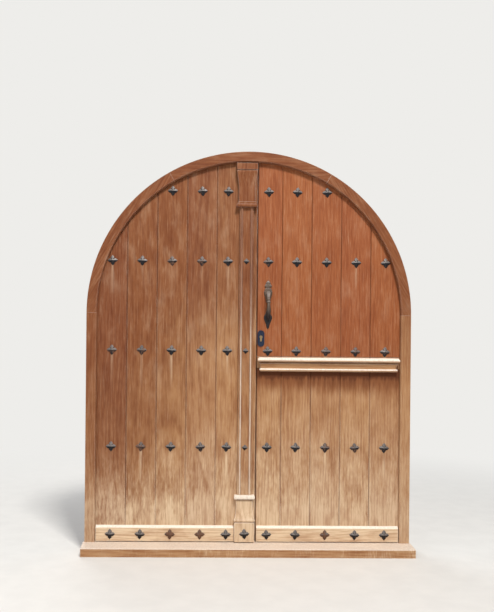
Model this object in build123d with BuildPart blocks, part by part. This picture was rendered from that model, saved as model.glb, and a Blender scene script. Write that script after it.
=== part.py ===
# Arched plank door in its wooden frame
#
# A round-arched frame stands on a wooden sill. The left leaf has the full height. The right leaf is
# split, so that its upper half opens alone. All three swing inward on forged strap hinges.
# X runs along the wall, Y runs into the building and Z is up. The planks' outer face is y = 0.
# The origin lies on the underside of the sill, in the middle of the doorway. Millimetres.
from build123d import *
import os
from math import cos, radians, sin, sqrt

os.makedirs("parts", exist_ok=True)

# Frame
frame_radius = 900  # outside of the arch, and half the frame's width
frame_face = 56  # width of the frame seen from outside
frame_projection = 25  # from the planks' outer face to the frame's front
springing_height = 1318  # where the posts end and the arch begins
lip_width = 13  # how far the stop lip covers the edge of a leaf
lip_gap = 1  # between the stop lip and the planks
lip_chamfer = 5
arch_pieces = 3
frame_tenon_width = 22
frame_tenon_thickness = 26
frame_tenon_length = 30

# Sill
sill_height = 52
sill_horn = 7  # beyond each side of the frame
sill_nose = 105  # in front of the frame
sill_tail = 39  # behind the leaves
sill_fall = 5  # slope of the top in front of the frame
sill_arris = 4

# Leaves
plank_thickness = 22
framing_thickness = 34
leaf_gap = 3  # between a leaf and the frame
sill_gap = 5  # between a leaf and the sill
meeting_line = 44  # where the leaves meet, right of the middle
meeting_gap = 4
split_drop = 234  # from the springing down to the split of the right leaf
split_gap = 1.5

# Planks
first_seam = 182  # from the middle to the first seam on each side
seams_per_side = 4
seam_chamfer = 4
tongue_thickness = 6
tongue_reach = 8
tongue_play = 0.2
groove_play = 0.5  # beyond the tip of the tongue

# Framing behind the planks
stile_width = 100
rail_height = 100
tenon_thickness = 12
tenon_length = 35
tenon_shoulder = 12
joint_play = 0.2

# Studs
foot_row = 39  # from the foot of a leaf to the lowest row
lower_row = 521  # from the foot of a leaf to the second row
split_row = 1  # from the split up to the petals of the third row
stud_lip_gap = 4.4  # from the outermost stud of the fourth row to the arch
edge_column = 93  # from the hinge edge of a leaf to its outermost studs
crown_row = 162  # from the crown of the lip down to the top row
top_row_columns = 3
handle_line = 105  # the pull and the first column of studs on the right leaf
stud_reach = 29  # from the middle of a stud to the tip of a petal
petal_half_width = 10.5
petal_notch = 8  # from the middle to the corner between two petals, along each axis
stud_height = 11
stud_edge = 2.5  # height at the tip of a petal
stud_tip = 2  # half the width of the flat on top
small_stud_height = 9
small_stud_reach = 17
shank_width = 6
shank_play = 0.2
shank_bite = 20  # how deep a shank goes into the framing

# Kick rails
kick_projection = 18
kick_height = 85
kick_bevel = 11
front_setback = 3  # from the edge of the right leaf to the pieces on its face

# Pilaster, with its base and capital
pilaster_centre = -18.5
pilaster_half_width = 40
pilaster_field = 15  # projection of the flat between the beads
bead_centre = 27
bead_half_width = 5
bead_height = 7
moulding_half_width = 58  # half the width where the base reaches furthest
moulding_reach = 34  # projection at that place
plinth_height = 106
base_height = 258
capital_height = 243
capital_gap = 8  # from the crown of the lip down to the capital
base_stud_rise = 46  # from the foot of the leaf
plinth_step = 2  # from the widest part of the base to the plinth
base_groove = 7  # height of the groove over the plinth
base_cap_height = 22
base_waist = 13  # how far the base draws in under its cap
astragal_height = 18  # the bead at the foot of the capital
capital_waist = 12
abacus_height = 36

# Weather ledge
ledge_drop = 82  # from the split down to the underside of the ledge
ledge_reach = 32
drip_bead_height = 16
drip_bead_setback = 15  # from the front of the nosing
nosing_bottom = 54  # from the underside of the ledge
nosing_height = 14
ledge_slope_height = 9  # above the nosing, so that rain runs off
frame_play = 4  # from the pieces on a leaf's face to the frame's stop lip

# Hinges
strap_thickness = 6
strap_width = 40
strap_tip_width = 24
long_strap = 480
short_strap = 98
eye_radius = 9.5
eye_height = 44
eye_sides = 8  # the eyes and shoulders are forged with flats
pin_radius = 6
pin_play = 0.1
pin_end = 3  # above the eye
shoulder_play = 0.3
hinge_standoff = 0.5  # between an eye and the frame's inner face
pintle_plate_width = 25
pintle_plate_thickness = 5
shoulder_height = 30
bottom_hinge = 63  # from the foot of a leaf to its lowest hinge
arch_hinge_rise = 96  # from the springing to the highest hinges
split_hinge_gap = 22  # from an eye to the split
nail_head = 14
nail_head_height = 4

# Bolts
bolt_width = 16
bolt_thickness = 8
bolt_standoff = 3  # between a bolt and the face that it slides along
bolt_play = 0.2
bolt_travel = 30
bolt_line = -8  # the bolts on the left leaf
tie_bolt_line = 96  # the bolt that ties the two halves of the right leaf
guide_half_width = 16
guide_wall = 5
guide_height = 18
keep_play = 1.5  # round a bolt in its keep
guide_end_gap = 32  # from a drawn bolt's end to its first guide
guide_pitch = 190
bolt_overrun = 40  # beyond the last guide
knob_radius = 6
knob_rim = 3  # how far the knob stands out round its stem
knob_sides = 8
knob_reach = 32
knob_rise = 100  # from the last guide
bolt_rest_gap = 3  # from a drawn bolt to the edge of its leaf
keep_gap = 12  # from a drawn bolt's end to its keep
sill_socket_play = 1

# Lock
backset = 21
lock_rise = 108  # from the split up to the key plug's axis
case_depth = 60
case_thickness = 16
case_below = 36
case_above = 76
case_wall = 2
case_gap = 2  # from the lock case down to the tenon of the rail
face_plate_thickness = 3
face_plate_width = 22
face_plate_margin = 6
cylinder_radius = 8.5
cylinder_leg_width = 10
cylinder_height = 33
cylinder_play = 0.2
plug_radius = 6.5
plug_play = 0.1
cam_radius = 13
cam_thickness = 5
cam_half_width = 4.5
cam_play = 0.5
keyway_width = 2.2
keyway_height = 9
keyway_depth = 4
deadbolt_height = 16
deadbolt_thickness = 10
deadbolt_rise = 34  # from the key plug's axis to the underside of the bolt
deadbolt_throw = 20
deadbolt_tail = 13
strike_thickness = 2
strike_play = 0.5
turn_length = 30
turn_thickness = 11
turn_reach = 16

# Keyhole plates and pull
escutcheon_width = 38
escutcheon_height = 91
escutcheon_thickness = 4
escutcheon_rim = 5
escutcheon_step = 1.5
pull_rise = 45  # from the key plug's axis up to the lower tip
pull_length = 273
spear_length = 43
upper_leaf_length = 82
lower_leaf_length = 101
pull_half_width = 24
spear_half_width = 21
spear_shoulder = 7  # from the foot of the spear to its widest place
pull_neck = 15
pull_waist_half = 11
pull_point_half = 4
pull_plate = 4
grip_foot = 47  # from the lower tip up to the grip's foot
grip_length = 157
grip_reach = 46
grip_sides = 8

# Places that follow from the sizes above
inner_face = plank_thickness + framing_thickness
lip_radius = frame_radius - frame_face
rebate_radius = lip_radius + lip_width
leaf_radius = rebate_radius - leaf_gap
arch_rail_radius = leaf_radius - stile_width
leaf_bottom = sill_height + sill_gap
leaf_top = springing_height + leaf_radius
crown = springing_height + lip_radius
split_height = springing_height - split_drop
split_bottom = split_height - split_gap / 2
split_top = split_height + split_gap / 2
left_edge = meeting_line - meeting_gap / 2
right_edge = meeting_line + meeting_gap / 2
front_start = right_edge + front_setback
front_limit = lip_radius - frame_play
hinge_y = inner_face + hinge_standoff + eye_radius
hinge_x = leaf_radius + leaf_gap / 2
plank_pitch = (lip_radius - first_seam) / seams_per_side
seams = [first_seam + plank_pitch * number for number in range(seams_per_side)]
outer_column = leaf_radius - edge_column
arch_row = sqrt(lip_radius**2 - (outer_column + stud_reach) ** 2) - stud_lip_gap
stud_rows = [
    leaf_bottom + foot_row,
    leaf_bottom + lower_row,
    split_height + split_row + stud_reach,
    springing_height + arch_row,
    crown - crown_row,
]
lock_height = split_height + lock_rise
framing_middle = plank_thickness + framing_thickness / 2
key_x = right_edge + backset
deadbolt_z = (lock_height + deadbolt_rise, lock_height + deadbolt_rise + deadbolt_height)
deadbolt_y = (framing_middle - deadbolt_thickness / 2, framing_middle + deadbolt_thickness / 2)
kick_top = leaf_bottom + kick_height
split_rail_top = lock_height - case_below - case_gap + tenon_shoulder
base_top = leaf_bottom + base_height
capital_top = crown - capital_gap
capital_bottom = capital_top - capital_height
ledge_bottom = split_height - ledge_drop
pull_bottom = lock_height + pull_rise
pull_top = pull_bottom + pull_length
pull_notch = pull_top - spear_length
pull_waist = pull_notch - upper_leaf_length
pull_leaf_top = pull_bottom + lower_leaf_length
grip_bottom = pull_bottom + grip_foot
grip_top = grip_bottom + grip_length
bolt_x = (bolt_line - bolt_width / 2, bolt_line + bolt_width / 2)
bolt_y = (inner_face + bolt_standoff, inner_face + bolt_standoff + bolt_thickness)
arch_centre = (0, springing_height)
plank_middles = [(low + high) / 2 for low, high in zip(seams, seams[1:])] + [outer_column]
studs_left = [-middle for middle in reversed(plank_middles)]
studs_left.append((-first_seam + pilaster_centre - pilaster_half_width) / 2)
studs_right = [handle_line] + plank_middles


def block(x, y, z, mode=Mode.ADD):
    """Add a block that spans one stretch along each axis."""
    with Locations((x[0], y[0], z[0])):
        Box(x[1] - x[0], y[1] - y[0], z[1] - z[0], align=(Align.MIN,) * 3, mode=mode)


def wider(stretch, play):
    """The same stretch with play at both ends."""
    return (stretch[0] - play, stretch[1] + play)


def mirrored(side, low, high):
    """A stretch along X, on the right for side 1 and mirrored to the left for side -1."""
    return tuple(sorted((side * low, side * high)))


def arched_area(radius, left, right, bottom, top):
    """Sketch one stretch of the arched opening of this radius."""
    with Locations(arch_centre):
        Circle(radius)
    with Locations((0, (leaf_bottom + springing_height) / 2)):
        Rectangle(2 * radius, springing_height - leaf_bottom)
    with Locations(((left + right) / 2, (bottom + top) / 2)):
        Rectangle(right - left, top - bottom, mode=Mode.INTERSECT)


def save(builder, name):
    """Label a finished piece and write it to a file of its own."""
    builder.part.label = name
    export_step(builder.part, f"parts/{name}.step")


# Frame
def frame_section():
    """Sketch the frame's section, radius along x and depth along y."""
    Polygon(
        (frame_radius, -frame_projection),
        (lip_radius + lip_chamfer, -frame_projection),
        (lip_radius, lip_chamfer - frame_projection),
        (lip_radius, -lip_gap),
        (rebate_radius, -lip_gap),
        (rebate_radius, inner_face),
        (frame_radius, inner_face),
        align=None,
    )


frame_tenon_x = (
    (rebate_radius + frame_radius - frame_tenon_width) / 2,
    (rebate_radius + frame_radius + frame_tenon_width) / 2,
)
frame_tenon_y = (
    (inner_face - frame_tenon_thickness) / 2,
    (inner_face + frame_tenon_thickness) / 2,
)


def arch_plane(angle):
    """The plane across the arch at an angle above the right springing, looking along the curve."""
    across = (cos(radians(angle)), 0, sin(radians(angle)))
    along = (-sin(radians(angle)), 0, cos(radians(angle)))
    return Plane(origin=(0, 0, springing_height), x_dir=across, z_dir=along)


def frame_tenon(angle, play, length, mode):
    """A tenon across a joint of the frame, running on along the arch from this angle."""
    with BuildSketch(arch_plane(angle)) as section:
        with Locations((sum(frame_tenon_x) / 2, sum(frame_tenon_y) / 2)):
            Rectangle(frame_tenon_width + 2 * play, frame_tenon_thickness + 2 * play)
    extrude(section.sketch, amount=length, mode=mode)


with BuildPart() as right_post:
    with BuildSketch(Plane.XY.offset(sill_height)):
        frame_section()
    extrude(amount=springing_height - sill_height)
    block(
        frame_tenon_x,
        frame_tenon_y,
        (sill_height - frame_tenon_length, springing_height + frame_tenon_length),
    )

with BuildPart() as left_post:
    mirror(right_post.part, about=Plane.YZ)

arch_step = 180 / arch_pieces
arch_axis = Axis((0, 0, springing_height), (0, -1, 0))

with BuildPart() as arch_right:
    with BuildSketch(arch_plane(0)):
        frame_section()
    revolve(axis=arch_axis, revolution_arc=arch_step)
    frame_tenon(arch_step, 0, frame_tenon_length, Mode.ADD)
    frame_tenon(0, joint_play, frame_tenon_length + joint_play, Mode.SUBTRACT)

with BuildPart() as arch_left:
    mirror(arch_right.part, about=Plane.YZ)

with BuildPart() as arch_crown:
    with BuildSketch(arch_plane(arch_step)):
        frame_section()
    revolve(axis=arch_axis, revolution_arc=180 - 2 * arch_step)
    frame_tenon(arch_step, joint_play, frame_tenon_length + joint_play, Mode.SUBTRACT)
    frame_tenon(180 - arch_step, joint_play, -frame_tenon_length - joint_play, Mode.SUBTRACT)

sill_front = -frame_projection - sill_nose
sill_back = inner_face + sill_tail
sill_half_width = frame_radius + sill_horn

with BuildPart() as sill:
    with BuildSketch(Plane.YZ.offset(-sill_half_width)):
        Polygon(
            (sill_front, 0),
            (sill_back, 0),
            (sill_back, sill_height),
            (-frame_projection, sill_height),
            (sill_front + sill_arris, sill_height - sill_fall),
            (sill_front, sill_height - sill_fall - sill_arris),
            align=None,
        )
    extrude(amount=2 * sill_half_width)
    for side in (-1, 1):
        block(
            mirrored(side, *wider(frame_tenon_x, joint_play)),
            wider(frame_tenon_y, joint_play),
            (sill_height - frame_tenon_length - joint_play, sill_height),
            mode=Mode.SUBTRACT,
        )
    socket_depth = bolt_travel - bolt_rest_gap - sill_gap + 4
    block(
        wider(bolt_x, sill_socket_play),
        wider(bolt_y, sill_socket_play),
        (sill_height - socket_depth, sill_height),
        mode=Mode.SUBTRACT,
    )

save(left_post, "left_post")
save(right_post, "right_post")
save(arch_left, "arch_left")
save(arch_crown, "arch_crown")
save(arch_right, "arch_right")
save(sill, "sill")


# Planks
def stud_places(columns, bottom, top):
    """The studs of one leaf as pairs of x and height. The top row has only its inner columns."""
    inner_columns = sorted(columns, key=abs)[:top_row_columns]
    places = []
    for row in stud_rows:
        if bottom < row < top:
            row_columns = inner_columns if row == stud_rows[-1] else columns
            places += [(x, row) for x in row_columns]
    return places


left_studs_at = stud_places(studs_left, leaf_bottom, leaf_top)
lower_studs_at = stud_places(studs_right, leaf_bottom, split_bottom)
upper_studs_at = stud_places(studs_right, split_top, leaf_top)
base_stud_at = (pilaster_centre, leaf_bottom + base_stud_rise)
small_studs_at = [(pilaster_centre, row) for row in stud_rows[1:4]]


def shank_holes(places, front, back):
    """Cut square holes for the stud shanks from one depth to another."""
    hole = (-shank_width / 2 - shank_play, shank_width / 2 + shank_play)
    for x, height in places:
        with Locations((x, 0, height)):
            block(hole, (front, back), hole, mode=Mode.SUBTRACT)


def cut_key_slot(y):
    """Cut the upright slot in the wood that the lock cylinder goes through."""
    slot_x = wider((key_x - cylinder_radius, key_x + cylinder_radius), cylinder_play)
    slot_top = lock_height + cylinder_radius
    block(slot_x, y, wider((slot_top - cylinder_height, slot_top), cylinder_play), Mode.SUBTRACT)


def cylinder_outline(play):
    """Sketch the lock cylinder's outline: a round body over a narrow rounded leg."""
    leg_end = cylinder_height - cylinder_radius - cylinder_leg_width / 2
    with Locations((key_x, lock_height)):
        Circle(cylinder_radius + play)
    with Locations((key_x, lock_height - leg_end / 2)):
        Rectangle(cylinder_leg_width + 2 * play, leg_end)
    with Locations((key_x, lock_height - leg_end)):
        Circle(cylinder_leg_width / 2 + play)


def make_plank(name, left, right, bottom, top, studs, lock=False):
    """One plank with a groove in its left edge and a tongue on its right, except at a leaf's edges."""
    half = plank_thickness / 2
    has_groove = abs(left) in seams
    has_tongue = abs(right) in seams
    reach = tongue_reach if has_tongue else 0
    with BuildPart() as plank:
        with BuildSketch(Plane.XY.offset(bottom)) as section:
            with Locations(((left + right) / 2, half)):
                Rectangle(right - left, plank_thickness)
            chamfer(section.vertices().group_by(Axis.Y)[0], seam_chamfer)
            if has_tongue:
                with Locations((right + tongue_reach / 2, half)):
                    Rectangle(tongue_reach, tongue_thickness)
            if has_groove:
                depth = tongue_reach + groove_play
                with Locations((left + depth / 2, half)):
                    Rectangle(depth, tongue_thickness + 2 * tongue_play, mode=Mode.SUBTRACT)
        extrude(amount=top - bottom)
        with BuildSketch(Plane.XZ.offset(-plank_thickness)):
            arched_area(leaf_radius, left, right + reach, bottom, top)
        extrude(amount=plank_thickness, mode=Mode.INTERSECT)
        shank_holes([place for place in studs if left < place[0] < right], 0, plank_thickness)
        if lock:
            cut_key_slot((0, plank_thickness))
    save(plank, name)


def make_planks(prefix, edges, bottom, top, studs, lock=None):
    """The planks between a row of edges, numbered from the left."""
    for number, (left, right) in enumerate(zip(edges, edges[1:]), start=1):
        make_plank(f"{prefix}_plank_{number}", left, right, bottom, top, studs, number == lock)


left_edges = [-leaf_radius] + [-seam for seam in reversed(seams)] + [left_edge]
right_edges = [right_edge] + seams + [leaf_radius]
pilaster_studs_at = small_studs_at + [base_stud_at]
make_planks("left", left_edges, leaf_bottom, leaf_top, left_studs_at + pilaster_studs_at)
make_planks("upper", right_edges, split_top, leaf_top, upper_studs_at, lock=1)
make_planks("lower", right_edges, leaf_bottom, split_bottom, lower_studs_at)


# Framing behind the planks
framing_y = (plank_thickness, inner_face)
tenon_y = (framing_middle - tenon_thickness / 2, framing_middle + tenon_thickness / 2)


def rail_band(middle):
    """The height of a rail behind a row of studs, which stays above the foot of its leaf."""
    low = max(middle - rail_height / 2, leaf_bottom)
    return (low, low + rail_height)


left_rails_at = [rail_band(row) for row in stud_rows]
upper_rails_at = [
    (split_top, split_rail_top),
    rail_band(stud_rows[3]),
    rail_band(stud_rows[4]),
]
lower_rails_at = [
    rail_band(stud_rows[0]),
    rail_band(stud_rows[1]),
    (split_bottom - rail_height, split_bottom),
]


def mortises(bands, x):
    """Cut a mortise for the tenon of each rail over one stretch along X."""
    for band in bands:
        tenon_z = wider(band, joint_play - tenon_shoulder)
        block(x, wider(tenon_y, joint_play), tenon_z, mode=Mode.SUBTRACT)


def make_hinge_stile(name, side, bottom, top, bands, studs):
    """The upright at the hinges, up to the springing at most."""
    inner = leaf_radius - stile_width
    with BuildPart() as stile:
        block(mirrored(side, inner, leaf_radius), framing_y, (bottom, top))
        mortises(
            [band for band in bands if band[1] <= top],
            mirrored(side, inner, inner + tenon_length + joint_play),
        )
        places = [place for place in studs if inner < abs(place[0]) and bottom < place[1] < top]
        shank_holes(places, plank_thickness, plank_thickness + shank_bite)
    save(stile, name)


def make_rails(name, side, start, bands, studs):
    """The rails of one leaf, between its meeting stile at start and its hinge stile or arch rail."""
    inner = leaf_radius - stile_width
    with BuildPart() as rails:
        for band in bands:
            under_arch = band[1] > springing_height
            reach = inner + (0 if under_arch else tenon_length)
            block(mirrored(side, side * start, inner), framing_y, band)
            tenon_z = wider(band, -tenon_shoulder)
            block(mirrored(side, side * start - tenon_length, reach), tenon_y, tenon_z)
        with BuildSketch(Plane.XZ.offset(-inner_face)):
            with Locations(arch_centre):
                Circle(arch_rail_radius)
            half_height = (springing_height - leaf_bottom) / 2
            with Locations((0, springing_height - half_height)):
                Rectangle(2 * (inner + tenon_length), 2 * half_height)
        extrude(amount=framing_thickness, mode=Mode.INTERSECT)
        shank_holes(studs, plank_thickness, plank_thickness + shank_bite)
    save(rails, name)


def make_arch_rail(name, side, start, studs):
    """The curved member that follows the arch from the springing to the meeting stile."""
    with BuildPart() as arch_rail:
        with BuildSketch(Plane.XZ.offset(-inner_face)):
            with Locations(arch_centre):
                Circle(leaf_radius)
                Circle(arch_rail_radius, mode=Mode.SUBTRACT)
            with Locations((start + side * leaf_radius / 2, springing_height + leaf_radius / 2)):
                Rectangle(leaf_radius, leaf_radius, mode=Mode.INTERSECT)
        extrude(amount=framing_thickness)
        shank_holes(studs, plank_thickness, plank_thickness + shank_bite)
    save(arch_rail, name)


def make_meeting_stile(name, side, edge, bottom, top, bands, studs, cut=None):
    """The upright at the meeting line. cut takes the lock or the strike out of it."""
    left, right = sorted((edge, edge + side * stile_width))
    with BuildPart() as stile:
        with BuildSketch(Plane.XZ.offset(-inner_face)):
            arched_area(leaf_radius, left, right, bottom, top)
        extrude(amount=framing_thickness)
        inner = edge + side * stile_width
        mortises(bands, tuple(sorted((inner, inner - side * (tenon_length + joint_play)))))
        shank_holes(studs, plank_thickness, plank_thickness + shank_bite)
        if cut:
            cut()
    save(stile, name)


case_x = (right_edge + face_plate_thickness, right_edge + face_plate_thickness + case_depth)
case_y = (framing_middle - case_thickness / 2, framing_middle + case_thickness / 2)
case_z = (lock_height - case_below, lock_height + case_above)
face_plate_x = (right_edge, right_edge + face_plate_thickness)
face_plate_y = (framing_middle - face_plate_width / 2, framing_middle + face_plate_width / 2)
face_plate_z = wider(case_z, face_plate_margin)
strike_x = (left_edge - strike_thickness, left_edge)
strike_z = wider(deadbolt_z, 2 * face_plate_margin)


def cut_lock_mortise():
    """Take the lock case, its face plate and the cylinder out of the stile."""
    block(case_x, wider(case_y, joint_play), wider(case_z, joint_play), mode=Mode.SUBTRACT)
    block(face_plate_x, face_plate_y, face_plate_z, mode=Mode.SUBTRACT)
    cut_key_slot(framing_y)


def cut_strike():
    """Take the strike plate and the pocket of the lock's bolt out of the stile."""
    block(strike_x, face_plate_y, strike_z, mode=Mode.SUBTRACT)
    pocket_end = right_edge - deadbolt_throw - 2
    pocket_y = wider(deadbolt_y, strike_play)
    block((pocket_end, left_edge), pocket_y, wider(deadbolt_z, strike_play), mode=Mode.SUBTRACT)


left_start = left_edge - stile_width
right_start = right_edge + stile_width
make_hinge_stile("left_hinge_stile", -1, leaf_bottom, springing_height, left_rails_at, left_studs_at)
make_hinge_stile("upper_hinge_stile", 1, split_top, springing_height, upper_rails_at, upper_studs_at)
make_hinge_stile("lower_hinge_stile", 1, leaf_bottom, split_bottom, lower_rails_at, lower_studs_at)
make_meeting_stile(
    "left_meeting_stile",
    -1,
    left_edge,
    leaf_bottom,
    leaf_top,
    left_rails_at,
    pilaster_studs_at,
    cut=cut_strike,
)
make_meeting_stile(
    "upper_meeting_stile",
    1,
    right_edge,
    split_top,
    leaf_top,
    upper_rails_at,
    upper_studs_at,
    cut=cut_lock_mortise,
)
make_meeting_stile(
    "lower_meeting_stile", 1, right_edge, leaf_bottom, split_bottom, lower_rails_at, lower_studs_at
)
make_arch_rail("left_arch_rail", -1, left_start, left_studs_at)
make_arch_rail("upper_arch_rail", 1, right_start, upper_studs_at)
make_rails("left_rails", -1, left_start, left_rails_at, left_studs_at)
make_rails("upper_rails", 1, right_start, upper_rails_at, upper_studs_at)
make_rails("lower_rails", 1, right_start, lower_rails_at, lower_studs_at)


# Mouldings on the leaves
def trace(profile, place):
    """Draw a profile of projections and heights. A pair of points is the middle and end of an arc."""
    start = profile[0]
    for step in profile[1:]:
        if isinstance(step[0], tuple):
            middle, end = step
            ThreePointArc(place(*start), place(*middle), place(*end))
        else:
            end = step
            Line(place(*start), place(*end))
        start = end


def make_returned_moulding(name, profile, left, right, reach, studs=()):
    """A moulding along X whose profile also turns round its two ends. reach is at the full width."""
    foot, bottom = profile[0]
    head, top = profile[-1][1] if isinstance(profile[-1][0], tuple) else profile[-1]
    with BuildPart() as moulding:
        with BuildSketch(Plane.YZ.offset(left)):
            with BuildLine():
                trace(profile, lambda projection, height: (-projection, height))
                Polyline((-head, top), (0, top), (0, bottom), (-foot, bottom))
            make_face()
        extrude(amount=right - left)
        with BuildSketch(Plane.XZ.offset(-1)):
            with BuildLine():
                trace(profile, lambda projection, height: (left + reach - projection, height))
                trace(profile, lambda projection, height: (right - reach + projection, height))
                Line((left + reach - foot, bottom), (right - reach + foot, bottom))
                Line((left + reach - head, top), (right - reach + head, top))
            make_face()
        extrude(amount=reach + 2, mode=Mode.INTERSECT)
        if studs:
            shank_holes(studs, -reach, 0)
    save(moulding, name)


def set_out(profile, reach, bottom):
    """Turn setbacks from the front and heights above the foot into projections and heights."""
    placed = []
    for step in profile:
        if isinstance(step[0], tuple):
            placed.append(tuple((reach - back, bottom + height) for back, height in step))
        else:
            placed.append((reach - step[0], bottom + step[1]))
    return placed


nosing_top = nosing_bottom + nosing_height
ledge_profile = [
    (drip_bead_setback, 0),
    ((drip_bead_setback - 4, drip_bead_height / 2), (drip_bead_setback, drip_bead_height)),
    (drip_bead_setback + 3, drip_bead_height),
    ((drip_bead_setback + 1, 32), (8, nosing_bottom - 10)),
    (11, nosing_bottom - 10),
    (11, nosing_bottom),
    (2, nosing_bottom),
    ((0, nosing_bottom + 6), (2, nosing_top)),
    (8, nosing_top + ledge_slope_height),
]
ledge_drawn = set_out(ledge_profile, ledge_reach, ledge_bottom)
make_returned_moulding("weather_ledge", ledge_drawn, front_start, front_limit, ledge_reach)

groove_top = plinth_height + base_groove
cap_bottom = base_height - base_cap_height
base_profile = [
    (plinth_step, 0),
    (plinth_step, plinth_height),
    (8, plinth_height),
    (8, groove_top),
    (2, groove_top),
    ((0, groove_top + 4), (1, groove_top + 10)),
    ((base_waist - 3, groove_top + 45), (base_waist, cap_bottom - 47)),
    (base_waist, cap_bottom),
    (4, cap_bottom),
    ((1, cap_bottom + base_cap_height / 2), (4, base_height)),
]
bell_top = capital_height - abacus_height - 4
capital_profile = [
    (4, 0),
    ((0, astragal_height / 2), (4, astragal_height)),
    (8, astragal_height),
    (8, astragal_height + 12),
    (capital_waist, astragal_height + 12),
    (capital_waist, 90),
    ((capital_waist - 3, 145), (2, bell_top - 12)),
    (2, bell_top),
    (7, bell_top),
    (7, bell_top + 4),
    (0, bell_top + 4),
    (0, capital_height),
]
base_drawn = set_out(base_profile, moulding_reach, leaf_bottom)
capital_drawn = set_out(capital_profile, moulding_reach, capital_bottom)
moulding_ends = wider((pilaster_centre, pilaster_centre), moulding_half_width)
make_returned_moulding(
    "pilaster_base", base_drawn, *moulding_ends, moulding_reach, studs=[base_stud_at]
)
make_returned_moulding("pilaster_capital", capital_drawn, *moulding_ends, moulding_reach)

with BuildPart() as pilaster:
    with BuildSketch(Plane((pilaster_centre, 0, base_top))):
        with BuildLine():
            Polyline((0, 0), (0, -pilaster_field), (bead_centre - bead_half_width, -pilaster_field))
            ThreePointArc(
                (bead_centre - bead_half_width, -pilaster_field),
                (bead_centre, -pilaster_field - bead_height),
                (bead_centre + bead_half_width, -pilaster_field),
            )
            Polyline(
                (bead_centre + bead_half_width, -pilaster_field),
                (pilaster_half_width - 3, -pilaster_field),
                (pilaster_half_width, 3 - pilaster_field),
                (pilaster_half_width, 0),
                (0, 0),
            )
        make_face()
        mirror(about=Plane.YZ)
    extrude(amount=capital_bottom - base_top)
    shank_holes(small_studs_at, -pilaster_field, 0)
save(pilaster, "pilaster")


def make_kick_rail(name, left, right, studs):
    """The board along the foot of a leaf, with a bevelled top."""
    with BuildPart() as kick_rail:
        with BuildSketch(Plane.YZ.offset(left)):
            Polygon(
                (0, leaf_bottom),
                (-kick_projection, leaf_bottom),
                (-kick_projection, kick_top - kick_bevel),
                (kick_bevel - kick_projection, kick_top),
                (0, kick_top),
                align=None,
            )
        extrude(amount=right - left)
        shank_holes([place for place in studs if place[1] < kick_top], -kick_projection, 0)
    save(kick_rail, name)


plinth_left = moulding_ends[0] + plinth_step
make_kick_rail("left_kick_rail", -front_limit, plinth_left - 1, left_studs_at)
make_kick_rail("lower_kick_rail", front_start, front_limit, lower_studs_at)


# Studs
def petal_outline(reach, half_width, notch):
    """The outline of a four-petal stud, petal by petal."""
    points = []
    for turn in range(4):
        angle = radians(90 * turn)
        petal = [(notch, -notch), (0.62 * reach, -half_width), (reach, 0), (0.62 * reach, half_width)]
        points += [
            (x * cos(angle) - y * sin(angle), x * sin(angle) + y * cos(angle)) for x, y in petal
        ]
    return points


def pyramid(corner, height, mode=Mode.ADD):
    """A low pyramid on the face of a leaf, with its corners up, down and to the sides."""
    low = (corner - stud_tip) / sqrt(2)
    high = (corner + stud_tip) / sqrt(2)
    base = low + high
    with Locations(Location((0, 0, 0), (0, 45, 180))):
        Wedge(
            base, height, base, low, low, high, high,
            align=(Align.CENTER, Align.MIN, Align.CENTER),
            mode=mode,
        )


def shank(length):
    """The square nail at the back of a stud, which goes through a board of this thickness."""
    half = shank_width / 2
    block((-half, half), (0, length + plank_thickness + shank_bite - shank_play), (-half, half))


edge_share = stud_edge / stud_height
petal_spread = (stud_reach - edge_share * stud_tip) / (1 - edge_share)

with BuildPart() as petal_stud:
    with BuildSketch(Plane.XZ):
        Polygon(*petal_outline(stud_reach, petal_half_width, petal_notch), align=None)
    extrude(amount=stud_height)
    pyramid(petal_spread, stud_height, Mode.INTERSECT)
    shank(0)

with BuildPart() as kick_stud:
    add(petal_stud.part)
    shank(kick_projection)

with BuildPart() as small_stud:
    pyramid(small_stud_reach, small_stud_height)
    shank(pilaster_field)


def add_studs(stud, places, projection):
    """Set a copy of a stud on each place, on a face that stands out from the planks."""
    with Locations(*[(x, -projection, height) for x, height in places]):
        add(stud.part)


def make_studs(name, places):
    """The petal studs of one leaf, on its planks and along its kick rail."""
    with BuildPart() as studs:
        plank_places = [place for place in places if place[1] > kick_top]
        kick_places = [place for place in places if place[1] < kick_top]
        add_studs(petal_stud, plank_places, 0)
        if kick_places:
            add_studs(kick_stud, kick_places, kick_projection)
        if name == "left_studs":
            add_studs(kick_stud, [base_stud_at], moulding_reach - plinth_step)
    save(studs, name)


make_studs("left_studs", left_studs_at)
make_studs("upper_studs", upper_studs_at)
make_studs("lower_studs", lower_studs_at)

with BuildPart() as pilaster_studs:
    add_studs(small_stud, small_studs_at, pilaster_field)
save(pilaster_studs, "pilaster_studs")


# Hinges
def eye_body(side, bottom, height):
    """A forged eight-sided body about a hinge's axis."""
    with BuildSketch(Plane((side * hinge_x, hinge_y, bottom))) as outline:
        RegularPolygon(eye_radius, eye_sides, rotation=180 / eye_sides)
    extrude(outline.sketch, amount=height)


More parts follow.
